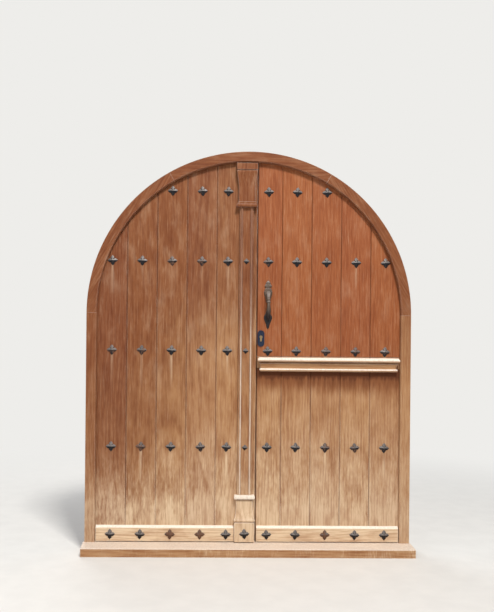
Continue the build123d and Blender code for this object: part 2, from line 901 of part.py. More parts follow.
def add_pintle(side, middle):
    """A pintle on the frame's inner face: plate, shoulder and upright pin."""
    eye_bottom = middle - eye_height / 2
    shoulder_top = eye_bottom - shoulder_play
    plate_inner = hinge_x + eye_radius + 1.5
    plate_x = mirrored(side, plate_inner, plate_inner + pintle_plate_width)
    plate_y = (inner_face, inner_face + pintle_plate_thickness)
    block(plate_x, plate_y, (shoulder_top - shoulder_height, eye_bottom + eye_height))
    block(
        mirrored(side, hinge_x, plate_inner + 3),
        (inner_face + 2, hinge_y + eye_radius - 2),
        (shoulder_top - shoulder_height, shoulder_top),
    )
    eye_body(side, shoulder_top - shoulder_height, shoulder_height)
    with Locations((side * hinge_x, hinge_y, shoulder_top)):
        pin_height = shoulder_play + eye_height + pin_end
        Cylinder(pin_radius, pin_height, align=(Align.CENTER, Align.CENTER, Align.MIN))


def add_strap(side, middle, length):
    """A forged strap on the inner face of a leaf, tapering to a leaf-shaped tip, with its eye."""
    tip = hinge_x - length
    root = hinge_x - eye_radius - 4
    edge = [(root, strap_width / 2), (tip + strap_tip_width, strap_tip_width / 2), (tip, 0)]
    if length > 2 * short_strap:
        neck = (tip + 2.5 * strap_tip_width, 0.35 * strap_tip_width)
        leaf = (tip + 1.5 * strap_tip_width, 0.8 * strap_tip_width)
        edge[1:2] = [neck, leaf]
    edge += [(x, -height) for x, height in reversed(edge[:-1])]
    with BuildSketch(Plane.XZ.offset(-inner_face - strap_thickness)) as outline:
        with Locations((0, middle)):
            Polygon(*[(side * x, height) for x, height in edge], align=None)
    extrude(outline.sketch, amount=strap_thickness)
    eye_z = (middle - eye_height / 2, middle + eye_height / 2)
    neck_y = (inner_face + hinge_standoff, inner_face + strap_thickness)
    block(mirrored(side, root - 2, hinge_x), neck_y, wider(eye_z, -2))
    eye_body(side, eye_z[0], eye_height)
    with Locations((side * hinge_x, hinge_y, middle)):
        Cylinder(pin_radius + pin_play, eye_height, mode=Mode.SUBTRACT)
    nails = 4 if length > 2 * short_strap else 2
    spacing = (length - 2 * strap_width) / nails
    places = [side * (root - strap_width / 2 - spacing * number) for number in range(nails)]
    low, high = nail_head * 0.3, nail_head * 0.7
    with Locations(*[(x, inner_face + strap_thickness, middle) for x in places]):
        Wedge(
            nail_head, nail_head_height, nail_head, low, low, high, high,
            align=(Align.CENTER, Align.MIN, Align.CENTER),
        )


lowest_hinge = leaf_bottom + bottom_hinge
left_hinges = [lowest_hinge, stud_rows[1], stud_rows[2], springing_height + arch_hinge_rise]
lower_hinges = [lowest_hinge, split_bottom - split_hinge_gap - eye_height]
upper_hinges = [split_top + split_hinge_gap + eye_height / 2, springing_height + arch_hinge_rise]

with BuildPart() as pintles:
    for middle in left_hinges:
        add_pintle(-1, middle)
    for middle in lower_hinges + upper_hinges:
        add_pintle(1, middle)
save(pintles, "pintles")


def make_straps(name, side, middles):
    """The straps of one leaf, with a short one where the arched rail is all there is to hold it."""
    with BuildPart() as straps:
        for middle in middles:
            length = short_strap if middle > springing_height else long_strap
            add_strap(side, middle, length)
    save(straps, name)


make_straps("left_straps", -1, left_hinges)
make_straps("upper_straps", 1, upper_hinges)
make_straps("lower_straps", 1, lower_hinges)


# Bolts
def add_guide(x, bottom, play=bolt_play):
    """A staple on the inner face that a bolt slides through."""
    guide_z = (bottom, bottom + guide_height)
    bolt = (x - bolt_width / 2, x + bolt_width / 2)
    feet = (x - guide_half_width, x + guide_half_width)
    block(feet, (inner_face, bolt_y[0]), guide_z)
    block(wider(bolt, guide_wall), (inner_face, bolt_y[1] + guide_wall), guide_z)
    block(wider(bolt, play), wider(bolt_y, play), guide_z, mode=Mode.SUBTRACT)


def make_bolt(name, x, bottom, top, knob_height):
    """A flat forged bolt with a forged knob on a stem."""
    knob_foot = bolt_y[1] + knob_reach - knob_rim
    with BuildPart() as bolt:
        block((x - bolt_width / 2, x + bolt_width / 2), bolt_y, (bottom, top))
        with BuildSketch(Plane.XZ.offset(-knob_foot)) as stem:
            with Locations((x, knob_height)):
                RegularPolygon(knob_radius, knob_sides, rotation=180 / knob_sides)
        extrude(stem.sketch, amount=knob_foot - bolt_y[1])
        with BuildSketch(Plane.XZ.offset(-knob_foot - knob_radius)) as knob:
            with Locations((x, knob_height)):
                RegularPolygon(knob_radius + knob_rim, knob_sides, rotation=180 / knob_sides)
        extrude(knob.sketch, amount=knob_radius)
    save(bolt, name)


top_bolt_end = leaf_top - bolt_rest_gap
bottom_bolt_end = leaf_bottom + bolt_rest_gap
tie_bolt_end = split_bottom - bolt_rest_gap
first_guide = guide_end_gap + guide_height  # from a bolt's upper end down to the guide's foot
top_guides = [top_bolt_end - first_guide - guide_pitch * number for number in (2, 1, 0)]
bottom_guides = [bottom_bolt_end + guide_end_gap + guide_pitch * number for number in (0, 1, 2)]
tie_guides = [tie_bolt_end - first_guide - guide_pitch * number for number in (1, 0)]

with BuildPart() as left_bolt_guides:
    for height in top_guides + bottom_guides:
        add_guide(bolt_line, height)
save(left_bolt_guides, "left_bolt_guides")

with BuildPart() as half_bolt_guides:
    for height in tie_guides:
        add_guide(tie_bolt_line, height)
save(half_bolt_guides, "half_bolt_guides")

with BuildPart() as top_bolt_keep:
    add_guide(bolt_line, top_bolt_end + keep_gap, keep_play)
save(top_bolt_keep, "top_bolt_keep")

with BuildPart() as half_bolt_keep:
    add_guide(tie_bolt_line, tie_bolt_end + keep_gap, keep_play)
save(half_bolt_keep, "half_bolt_keep")

bottom_bolt_top = bottom_guides[-1] + guide_height + bolt_overrun
make_bolt(
    "top_bolt", bolt_line, top_guides[0] - bolt_overrun, top_bolt_end, top_guides[0] + knob_rise
)
make_bolt(
    "bottom_bolt", bolt_line, bottom_bolt_end, bottom_bolt_top, bottom_guides[-1] - knob_rise / 2
)
make_bolt(
    "half_bolt", tie_bolt_line, tie_guides[0] - bolt_overrun, tie_bolt_end, tie_guides[0] + knob_rise
)


# Lock
def bolt_opening(x, play):
    """Cut the opening for the lock's bolt over one stretch along X."""
    block(x, wider(deadbolt_y, play), wider(deadbolt_z, play), mode=Mode.SUBTRACT)


with BuildPart() as lock_case:
    block(case_x, case_y, case_z)
    block(
        wider(case_x, -case_wall), wider(case_y, -case_wall), wider(case_z, -case_wall),
        mode=Mode.SUBTRACT,
    )
    block(face_plate_x, face_plate_y, face_plate_z)
    bolt_opening((face_plate_x[0], case_x[0] + case_wall), bolt_play)
    with BuildSketch(Plane.XZ.offset(-inner_face)):
        cylinder_outline(cylinder_play)
    extrude(amount=framing_thickness, mode=Mode.SUBTRACT)
save(lock_case, "lock_case")

with BuildPart() as strike_plate:
    block(strike_x, face_plate_y, strike_z)
    bolt_opening(strike_x, strike_play)
save(strike_plate, "strike_plate")

deadbolt_end = case_x[1] - case_wall - 4
with BuildPart() as deadbolt:
    block((right_edge, deadbolt_end), deadbolt_y, deadbolt_z)
    tail_bottom = lock_height + cam_radius + 2
    block((deadbolt_end - deadbolt_tail, deadbolt_end), deadbolt_y, (tail_bottom, deadbolt_z[0]))
save(deadbolt, "deadbolt")

cylinder_y = (-escutcheon_thickness - 1, inner_face + escutcheon_thickness + 1)
cam_y = (framing_middle - cam_thickness / 2, framing_middle + cam_thickness / 2)


def key_disc(radius, y, mode=Mode.ADD):
    """A round body about the key plug's axis."""
    with Locations(Location((key_x, sum(y) / 2, lock_height), (90, 0, 0))):
        Cylinder(radius, y[1] - y[0], mode=mode)


with BuildPart() as lock_cylinder:
    with BuildSketch(Plane.XZ.offset(-cylinder_y[1])):
        cylinder_outline(0)
    extrude(amount=cylinder_y[1] - cylinder_y[0])
    key_disc(plug_radius + plug_play, cylinder_y, Mode.SUBTRACT)
    block(
        (key_x - cylinder_radius, key_x + cylinder_radius),
        wider(cam_y, cam_play),
        (lock_height - cam_radius - cam_play, lock_height + cylinder_radius),
        mode=Mode.SUBTRACT,
    )
save(lock_cylinder, "lock_cylinder")

turn_y = (cylinder_y[1] + 1, cylinder_y[1] + 1 + turn_reach)
with BuildPart() as key_plug:
    key_disc(plug_radius, (cylinder_y[0], turn_y[0] + 1))
    block(
        (key_x - keyway_width / 2, key_x + keyway_width / 2),
        (cylinder_y[0], cylinder_y[0] + keyway_depth),
        (lock_height - keyway_height / 2, lock_height + keyway_height / 2),
        mode=Mode.SUBTRACT,
    )
    cam_depth = sqrt(cam_radius**2 - cam_half_width**2)
    block(
        (key_x - cam_half_width, key_x + cam_half_width),
        cam_y,
        (lock_height - cam_depth, lock_height),
    )
    with BuildSketch(Plane.XZ.offset(-turn_y[1])):
        with Locations((key_x, lock_height)):
            SlotOverall(turn_length, turn_thickness, rotation=90)
    extrude(amount=turn_reach)
save(key_plug, "key_plug")


def escutcheon_plane(depth):
    """A plane that faces outward at this depth, centred on the keyhole plates."""
    middle = lock_height + cylinder_radius - cylinder_height / 2
    return Plane((key_x, depth, middle), x_dir=(1, 0, 0), z_dir=(0, -1, 0))


with BuildPart() as escutcheons:
    with BuildSketch(escutcheon_plane(0)):
        SlotOverall(escutcheon_height, escutcheon_width, rotation=90)
    extrude(amount=escutcheon_thickness)
    with BuildSketch(escutcheon_plane(escutcheon_step - escutcheon_thickness)):
        SlotOverall(
            escutcheon_height - 2 * escutcheon_rim,
            escutcheon_width - 2 * escutcheon_rim,
            rotation=90,
        )
    extrude(amount=escutcheon_step, mode=Mode.SUBTRACT)
    with BuildSketch(escutcheon_plane(inner_face + escutcheon_thickness)):
        Rectangle(escutcheon_width, escutcheon_height)
    extrude(amount=escutcheon_thickness)
    with BuildSketch(Plane.XZ.offset(-inner_face - escutcheon_thickness)):
        cylinder_outline(cylinder_play)
    extrude(amount=inner_face + 2 * escutcheon_thickness, mode=Mode.SUBTRACT)
save(escutcheons, "escutcheons")

# Pull handle
pull_plane = Plane((handle_line, 0, 0), x_dir=(1, 0, 0), z_dir=(0, -1, 0))
grip_middle = (grip_top + grip_bottom) / 2
grip_path = ThreePointArc(
    (handle_line, -pull_plate, grip_top),
    (handle_line, -grip_reach, grip_middle),
    (handle_line, -pull_plate, grip_bottom),
)
grip_sections = [  # place along the grip, from its top, and radius
    (0, 14),
    (0.13, 15),
    (0.26, 9.5),
    (0.34, 9),
    (0.39, 11.5),
    (0.44, 8.5),
    (0.67, 12),
    (1, 6),
]

with BuildPart() as pull_handle:
    with BuildSketch(pull_plane):
        with BuildLine():
            spear_corner = (spear_half_width, pull_notch + spear_shoulder)
            ThreePointArc((0, pull_top), (spear_half_width * 0.67, pull_top - 18), spear_corner)
            Polyline(spear_corner, (pull_neck, pull_notch), (pull_neck, pull_notch - 2))
            ThreePointArc(
                (pull_neck, pull_notch - 2),
                (pull_half_width, pull_notch - upper_leaf_length / 3),
                (pull_waist_half, pull_waist),
            )
            Polyline((pull_waist_half, pull_waist), (0, pull_waist - 6), (0, pull_top))
        make_face()
        with BuildLine():
            Line((0, pull_leaf_top + 4), (pull_waist_half, pull_leaf_top))
            ThreePointArc(
                (pull_waist_half, pull_leaf_top),
                (pull_half_width, pull_leaf_top - lower_leaf_length / 3),
                (pull_point_half, pull_bottom + 7),
            )
            Polyline((pull_point_half, pull_bottom + 7), (0, pull_bottom), (0, pull_leaf_top + 4))
        make_face()
        mirror(about=Plane.YZ)
    extrude(amount=pull_plate)
    for position, radius in grip_sections:
        across = Plane(grip_path @ position, x_dir=(1, 0, 0), z_dir=grip_path % position)
        with BuildSketch(across):
            RegularPolygon(radius, grip_sides)
    loft(ruled=True)
    block(
        (handle_line - pull_half_width, handle_line + pull_half_width),
        (0, pull_half_width),
        (pull_bottom, pull_top),
        mode=Mode.SUBTRACT,
    )
save(pull_handle, "pull_handle")
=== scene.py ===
"""Dresses an arched plank door: weathered boards, forged studs and pull, brass keyhole and the stage."""

import math

import bmesh
import bpy
from mathutils import Matrix, Vector


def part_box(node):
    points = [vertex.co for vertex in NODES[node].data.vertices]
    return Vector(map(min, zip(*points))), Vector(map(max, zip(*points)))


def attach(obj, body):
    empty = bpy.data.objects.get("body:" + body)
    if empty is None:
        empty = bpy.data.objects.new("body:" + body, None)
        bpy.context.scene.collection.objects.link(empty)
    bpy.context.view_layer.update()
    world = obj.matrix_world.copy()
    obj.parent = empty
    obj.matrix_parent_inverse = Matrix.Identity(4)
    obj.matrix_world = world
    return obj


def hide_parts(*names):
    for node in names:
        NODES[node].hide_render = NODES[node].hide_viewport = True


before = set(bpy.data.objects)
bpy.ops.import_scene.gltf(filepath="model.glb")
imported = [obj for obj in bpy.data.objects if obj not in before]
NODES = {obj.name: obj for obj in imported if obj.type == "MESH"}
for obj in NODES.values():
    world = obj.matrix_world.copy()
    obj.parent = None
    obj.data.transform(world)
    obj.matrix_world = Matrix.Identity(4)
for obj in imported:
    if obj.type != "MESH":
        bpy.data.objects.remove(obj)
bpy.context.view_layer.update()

bl_info = {
    "name": "Arched plank door",
    "version": (1, 0, 0),
    "blender": (4, 5, 0),
    "location": "View3D > Sidebar > Door",
    "description": "Dresses an arched plank door in weathered wood, forged iron and brass",
    "category": "Object",
}

TAU = 2 * math.pi

# Places on the door, in metres. Across goes to the right of the middle, and depth goes inward from the
# front of the boards, so that what stands out from them has a negative depth.
MEETING_LINE = 0.044
INNER_STUDS = (-0.12, 0.105)
UNDER_LEDGE = 1.02

# Depths between which dirt starts and ends in the seams, and the inner side's finish starts
DIRT_START = (0.0004, 0.0032)
DIRT_END = (0.012, 0.016)
INNER_SIDE = (0.012, 0.02)

# Depths past which the ledge and the pilaster turn almost white, partly washed and partly a painted
# highlight
LEDGE_PROUD = -0.0285
PILASTER_PROUD = -0.0202

# Sizes of the mouldings, in metres
DRIP_BEAD = 0.015  # part of the bead at the ledge's foot that turns almost white, partly washed and partly a painted highlight
NOSING_FOOT = 0.055  # from the ledge's foot; above it the nosing turns almost white, partly a painted highlight, and painted shade falls right under it
BASE_CAP = 0.022  # height of the cap on the pilaster's base, which turns almost white, partly a painted highlight, with painted shade right under it
CAP_SHADE_BAND = 0.014  # how far painted shade reaches down under a cap
BEAD_DEPTH = 0.007  # from the pilaster's flat to the front of its beads

# Rows of studs: height, and how pale the rain's trails are under them. The trails' ramp ends above.
TRAILS = ((0.578, 0.8), (1.112, 0.5), (1.61, 0.25))
RAMP_END = 2.2

# Studs that have browned: across, height, and how much rust is added
BROWNED = (
    (-0.43, 0.1, 0.26), (-0.265, 0.1, 0.26), (0.43, 0.1, 0.26),
    (-0.6, 0.578, 0.2), (-0.265, 0.578, 0.12), (0.43, 0.578, 0.16), (0.595, 0.578, 0.12),
    (-0.765, 1.112, 0.12), (-0.6, 1.112, 0.16), (0.43, 1.112, 0.12), (0.595, 1.112, 0.14),
    (-0.43, 1.61, 0.12), (-0.265, 1.61, 0.12), (0.105, 1.61, 0.14),
)
SAME_STUD = 0.05

# How far the picture is shifted, in pixels of its height, and the camera's turns in radians
PICTURE_HEIGHT = 612
PICTURE_SHIFT = (40, 30.5)
CAMERA_PAN = -0.0177
CAMERA_ROLL = 0.0095


# Colours
def linear(red, green, blue):
    """A colour written on the 0 to 255 display scale, as the linear values that shaders take."""
    values = []
    for value in (red, green, blue):
        value /= 255
        values.append(value / 12.92 if value <= 0.04045 else ((value + 0.055) / 1.055) ** 2.4)
    return (*values, 1.0)


def colour(name, description, *display):
    """A colour property with its default on the display scale."""
    return bpy.props.FloatVectorProperty(
        name=name, description=description, default=linear(*display), subtype="COLOR", size=4, min=0, max=1
    )


def amount(name, description, default, low=0.0, high=1.0, **unit):
    """A number property."""
    return bpy.props.FloatProperty(
        name=name, description=description, default=default, min=low, max=high, **unit
    )


def length(name, description, default):
    """A length property in metres."""
    return amount(name, description, default, 0.0, 10.0, subtype="DISTANCE", unit="LENGTH")


class DoorWood(bpy.types.PropertyGroup):
    """Colours and wear of the boards, the frame and the mouldings."""

    varnished: colour("Varnished", "Wood that the arch shelters from sun and rain", 130, 77, 44)
    redder: colour("Redder", "Varnished wood of the upper half leaf", 152, 88, 50)
    weathered: colour("Weathered", "Wood that has lost its varnish", 176, 132, 92)
    bleached: colour("Bleached", "Fibres washed pale by rain", 230, 206, 174)
    # The crest colour is washed wood and also a painted highlight on proud parts, rims, caps and faces
    # turned up
    crest_and_highlight: colour("Crest", "Edges and ledges that sun and rain have washed almost white", 244, 233, 219)
    # The stained colour also paints the shade under the caps and the ledge's nosing, and the shadow right
    # under the ledge
    stain_and_shade: colour("Stained", "Water stains and dirt in the seams", 86, 46, 26)
    sheltered: colour("Inner side", "Oiled wood on the inner side", 158, 104, 62)
    grain: amount("Grain", "Depth of the raised grain", 0.5)
    board_width: length("Board width", "From one seam to the next", 0.1655)
    first_seam: length("First seam", "From the middle to the first seam on each side", 0.182)


class DoorIron(bpy.types.PropertyGroup):
    """Sizes and colours of the forged pieces."""

    iron: colour("Iron", "Blackened forged iron", 28, 27, 32)
    # The worn colour is also the painted highlight on the iron's faces turned up
    worn: colour("Worn", "Iron where it has been rubbed bright", 172, 162, 156)
    rust: colour("Rust", "Brown rust on the forged pieces", 106, 74, 56)
    brass: colour("Brass", "Worn brass of the lock cylinder", 186, 158, 118)
    steel: colour("Steel", "Plain steel of the lock", 150, 150, 148)
    handled: colour("Handled", "Browned iron of the pull", 97, 82, 70)
    plate: colour("Plate", "Blued iron of the keyhole plates", 34, 42, 64)
    petal_notch: length("Petal notch", "From the middle of a stud to the corner of two petals", 0.0158)
    stud_jitter: amount("Unevenness", "How unevenly the studs were driven", 0.5)


class DoorStage(bpy.types.PropertyGroup):
    """The floor, the lamps and the camera."""

    floor: colour("Floor", "The pale floor", 226, 224, 220)
    backdrop: colour("Backdrop", "What the camera sees behind the door", 238, 237, 234)
    camera_distance: length("Camera distance", "From the boards to the camera", 4.1)
    camera_height: length("Camera height", "From the floor to the camera", 1.192)
    camera_side: amount("Camera side", "From the middle to the camera", -0.306, -5, 5, unit="LENGTH")
    camera_lens: amount("Lens", "Focal length in millimetres", 43.35, 10, 200)


# Nodes
def node(tree, kind, inputs=None, **settings):
    """Add a node, change its settings, and set or link its inputs."""
    new = tree.nodes.new(kind)
    for key, value in settings.items():
        setattr(new, key, value)
    for key, value in (inputs or {}).items():
        if isinstance(value, bpy.types.NodeSocket):
            tree.links.new(value, new.inputs[key])
        else:
            new.inputs[key].default_value = value
    return new


def calc(tree, operation, *values):
    """The result of a sum on numbers or sockets."""
    return node(tree, "ShaderNodeMath", dict(enumerate(values)), operation=operation).outputs[0]


def product(tree, *values):
    """Numbers or sockets multiplied together."""
    result = values[0]
    for value in values[1:]:
        result = calc(tree, "MULTIPLY", result, value)
    return result


def stray(tree, wave, strength, base):
    """A base that rises and falls with a wave, which goes from 0 to 1 around its middle."""
    return calc(tree, "MULTIPLY_ADD", calc(tree, "SUBTRACT", wave, 0.5), strength, base)


def ease(tree, value, low, high, start=0.0, end=1.0):
    """A smooth change from start to end while the value goes from low to high."""
    inputs = {"Value": value, "From Min": low, "From Max": high, "To Min": start, "To Max": end}
    new = node(tree, "ShaderNodeMapRange", inputs, interpolation_type="SMOOTHSTEP")
    return new.outputs["Result"]


def mix(tree, factor, first, second, blend="MIX"):
    """Two colours mixed by a factor."""
    new = node(tree, "ShaderNodeMix", {0: factor, 6: first, 7: second}, data_type="RGBA")
    new.blend_type = blend
    return new.outputs[2]


def scaled(tree, vector, scale):
    """A vector with its three axes scaled apart."""
    inputs = {0: vector, 1: scale}
    return node(tree, "ShaderNodeVectorMath", inputs, operation="MULTIPLY").outputs[0]


def noise(tree, vector, scale, detail=3.0, roughness=0.55):
    """Noise from 0 to 1, with a size of its own along each axis."""
    inputs = {"Vector": scaled(tree, vector, scale), "Scale": 1.0, "Detail": detail}
    inputs["Roughness"] = roughness
    return node(tree, "ShaderNodeTexNoise", inputs).outputs["Fac"]


def new_group(name, inputs, outputs, tree_kind="ShaderNodeTree"):
    """An empty group with its named sockets. Returns the tree and its two end nodes."""
    tree = bpy.data.node_groups.new(name, tree_kind)
    for in_out, sockets in (("INPUT", inputs), ("OUTPUT", outputs)):
        for label, kind, *default in sockets:
            socket = tree.interface.new_socket(
                name=label, in_out=in_out, socket_type=f"NodeSocket{kind}"
            )
            if default:
                socket.default_value = default[0]
    return tree, tree.nodes.new("NodeGroupInput"), tree.nodes.new("NodeGroupOutput")


def board_group():
    """Numbers the boards, so that each board gets a tone and a grain of its own."""
    inputs = [("Vector", "Vector"), ("First seam", "Float"), ("Width", "Float")]
    tree, start, end = new_group("Board number", inputs, [("Number", "Float")])
    x = node(tree, "ShaderNodeSeparateXYZ", {0: start.outputs["Vector"]}).outputs["X"]
    beyond = calc(tree, "SUBTRACT", calc(tree, "ABSOLUTE", x), start.outputs["First seam"])
    steps = calc(tree, "FLOOR", calc(tree, "DIVIDE", beyond, start.outputs["Width"]))
    number = calc(tree, "MAXIMUM", steps, -1.0)
    right_leaf_start = 7.3
    right = calc(tree, "GREATER_THAN", x, MEETING_LINE)
    number = calc(tree, "ADD", number, product(tree, right, right_leaf_start))
    tree.links.new(number, end.inputs["Number"])
    return tree


def grain_group():
    """Wood grain that runs along Z: growth rings, streaks, fibres and pores."""
    outputs = [("Figure", "Float"), ("Fibre", "Float"), ("Blotch", "Float"), ("Relief", "Float")]
    tree, start, end = new_group("Wood grain", [("Vector", "Vector"), ("Seed", "Float")], outputs)
    random = node(
        tree, "ShaderNodeTexWhiteNoise", {"W": start.outputs["Seed"]}, noise_dimensions="1D"
    )
    inputs = {0: random.outputs["Color"], 1: (0.5, 0.3, 9.0), 2: start.outputs["Vector"]}
    away = node(tree, "ShaderNodeVectorMath", inputs, operation="MULTIPLY_ADD").outputs[0]
    parts = node(tree, "ShaderNodeSeparateXYZ", {0: away})
    sway = noise(tree, away, (5.0, 5.0, 1.1), 2.0)
    drift = noise(tree, away, (0.6, 0.6, 0.7), 1.0)
    x = calc(tree, "MULTIPLY_ADD", sway, 0.07, parts.outputs["X"])
    y = calc(tree, "MULTIPLY_ADD", drift, 0.3, parts.outputs["Y"])
    ring_place = node(tree, "ShaderNodeCombineXYZ", {"X": x, "Y": y}).outputs[0]
    rings = node(
        tree,
        "ShaderNodeTexWave",
        {"Vector": ring_place, "Scale": 20.0, "Distortion": 3.0, "Detail": 3.0, "Detail Scale": 2.0},
        wave_type="RINGS",
        rings_direction="Z",
    ).outputs["Fac"]
    broad = noise(tree, away, (30.0, 30.0, 2.4), 2.0)
    streaks = noise(tree, away, (130.0, 130.0, 7.0), 3.0, 0.6)
    fibre = noise(tree, away, (520.0, 520.0, 14.0), 3.0, 0.65)
    pores = ease(tree, noise(tree, away, (900.0, 900.0, 34.0), 1.0), 0.62, 0.7)
    figure = calc(tree, "MULTIPLY", rings, 0.16)
    figure = calc(tree, "MULTIPLY_ADD", broad, 0.34, figure)
    figure = calc(tree, "MULTIPLY_ADD", streaks, 0.5, figure)
    blotch = noise(tree, away, (15.0, 15.0, 6.5), 4.0, 0.6)
    fine = calc(tree, "MULTIPLY_ADD", streaks, 0.4, calc(tree, "MULTIPLY", fibre, 0.6))
    relief = calc(tree, "MULTIPLY_ADD", rings, 0.3, calc(tree, "MULTIPLY", fibre, 0.7))
    relief = calc(tree, "MULTIPLY_ADD", pores, -0.35, relief)
    for label, socket in zip(("Figure", "Fibre", "Blotch", "Relief"), (figure, fine, blotch, relief)):
        tree.links.new(socket, end.inputs[label])
    return tree


def edge_group():
    """A mask of the edges that hands, brooms and weather round off and rub pale."""
    tree, start, end = new_group("Rubbed edges", [("Vector", "Vector")], [("Edge", "Float")])
    smooth = node(tree, "ShaderNodeBevel", {"Radius": 0.004}).outputs[0]
    flat = node(tree, "ShaderNodeNewGeometry").outputs["Normal"]
    same = node(tree, "ShaderNodeVectorMath", {0: smooth, 1: flat}, operation="DOT_PRODUCT")
    ragged = noise(tree, start.outputs["Vector"], (70.0, 70.0, 22.0), 3.0, 0.6)
    bent = stray(tree, ragged, 0.16, calc(tree, "SUBTRACT", 1.0, same.outputs["Value"]))
    tree.links.new(ease(tree, bent, 0.04, 0.16), end.inputs["Edge"])
    return tree


def weather_group():
    """Wears varnished wood down and bleaches it, most of all near the ground; top faces low down turn
    almost white, partly as bleaching and partly as a painted highlight.

    What stands further out than Proud, lies under the height Rim or over the height Cap turns almost
    white, partly washed and partly a painted highlight that faces turned down and high places get less of,
    and painted shade falls right under Cap. Behind the boards the wood is sheltered.
    """
    inputs = [
        ("Vector", "Vector"),
        ("Seed", "Float"),
        ("Varnished", "Color"),
        ("Weathered", "Color"),
        ("Bleached", "Color"),
        ("Sheltered", "Color"),
        ("Wear", "Float", 0.5),
        ("Bleach", "Float", 0.5),
        ("Proud", "Float", -1.0),
        ("Rim", "Float", -1.0),
        ("Cap", "Float", 10.0),
        ("Stained", "Color"),
    ]
    outputs = [("Color", "Color"), ("Worn", "Float"), ("Bare", "Float")]
    tree, start, end = new_group("Weathering", inputs, outputs)
    get = start.outputs
    parts = node(tree, "ShaderNodeSeparateXYZ", {0: get["Vector"]})
    depth, height = parts.outputs["Y"], parts.outputs["Z"]
    shift = node(tree, "ShaderNodeCombineXYZ", {"X": get["Seed"], "Z": get["Seed"]}).outputs[0]
    place = node(tree, "ShaderNodeVectorMath", {0: get["Vector"], 1: shift}).outputs[0]
    patches = noise(tree, place, (7.0, 7.0, 3.8), 4.0, 0.6)
    streaks = noise(tree, place, (60.0, 60.0, 5.0), 3.0, 0.6)
    washed = noise(tree, place, (24.0, 24.0, 9.0), 4.0, 0.68)
    flecks = noise(tree, place, (190.0, 190.0, 26.0), 2.0, 0.6)

    # The varnish wears off less high up and on the left, where the arch shades it
    high = ease(tree, height, 0.85, 1.6, 0.15, -0.32)
    aside = ease(tree, parts.outputs["X"], -0.66, -0.2, -0.47, 0.0)
    aside = calc(tree, "MULTIPLY", aside, ease(tree, height, 0.2, 0.9, 0.55, 1.0))
    sided = calc(tree, "ADD", get["Wear"], aside)
    wear = stray(tree, patches, ease(tree, height, 0.8, 1.7, 0.55, 0.2), calc(tree, "ADD", sided, high))
    worn = ease(tree, stray(tree, streaks, 0.25, wear), 0.1, 0.9)
    surface = mix(tree, worn, get["Varnished"], get["Weathered"])

    # Splashes bleach the foot of the door
    ground = ease(tree, height, 0.1, 1.0, 0.42, 0.0)
    ground = calc(tree, "ADD", ground, ease(tree, height, 0.2, 0.36, 0.25, 0.0))
    uneven = 0.0
    for wave, strength in ((washed, 0.8), (streaks, 0.3), (flecks, 1.0), (patches, 0.9)):
        uneven = stray(tree, wave, strength, uneven)
    spread_out = calc(tree, "MULTIPLY_ADD", ground, 1.3, 0.22)
    pale = calc(tree, "MULTIPLY_ADD", uneven, spread_out, stray(tree, sided, 0.5, ground))
    pale = calc(tree, "MULTIPLY", ease(tree, pale, 0.05, 0.75, 0.0, 0.9), get["Bleach"])
    surface = mix(tree, pale, surface, get["Bleached"])

    # Painted shade under the cap
    under = calc(tree, "SUBTRACT", get["Cap"], height)
    below = calc(tree, "GREATER_THAN", under, 0.0)
    painted_cap_shade = product(tree, ease(tree, under, 0.0, CAP_SHADE_BAND, 0.85, 0.0), below)
    surface = mix(tree, painted_cap_shade, surface, get["Stained"])

    # Proud parts, rims and caps turn almost white, partly washed and partly a painted highlight; so do top
    # faces low down, and worn edges
    normal = node(tree, "ShaderNodeNewGeometry").outputs["Normal"]
    up = node(tree, "ShaderNodeSeparateXYZ", {0: normal}).outputs["Z"]
    # Painted highlight, partly real bleaching: top faces below 1.2 to 1.4 m
    top_highlight = product(tree, ease(tree, up, 0.2, 0.8), ease(tree, height, 1.2, 1.4, 1.0, 0.0))
    rim = calc(tree, "LESS_THAN", height, get["Rim"])
    rim = calc(tree, "MAXIMUM", rim, calc(tree, "LESS_THAN", under, 0.0))
    proud = ease(tree, calc(tree, "SUBTRACT", get["Proud"], depth), -0.001, 0.002)
    proud = calc(tree, "MAXIMUM", proud, rim)
    rimless = calc(tree, "LESS_THAN", get["Rim"], 0.0)
    # Painted shade: where a Rim is given, faces turned down, such as under the nosing, get little of the
    # crest colour
    level = calc(tree, "MAXIMUM", ease(tree, up, -0.12, 0.3, 0.1, 1.0), rimless)
    # The painted highlight on proud parts fades above 0.95 m
    proud = product(tree, proud, product(tree, level, ease(tree, height, 0.95, 1.6, 1.0, 0.16)))
    proud = calc(tree, "MAXIMUM", proud, top_highlight)
    proud = product(tree, proud, ease(tree, flecks, 0.25, 0.6, 0.6, 1.0))
    edges = use(tree, shared("edge", edge_group), {"Vector": get["Vector"]})["Edge"]
    edges = product(tree, edges, calc(tree, "ADD", ground, 0.42))
    bleached_and_highlit = product(tree, calc(tree, "MAXIMUM", proud, edges), get["Bleach"])

    indoors = ease(tree, depth, *INNER_SIDE)
    surface = mix(tree, indoors, surface, get["Sheltered"])
    outdoors = calc(tree, "SUBTRACT", 1.0, indoors)
    tree.links.new(surface, end.inputs["Color"])
    tree.links.new(product(tree, worn, outdoors), end.inputs["Worn"])
    tree.links.new(product(tree, bleached_and_highlit, outdoors), end.inputs["Bare"])
    return tree


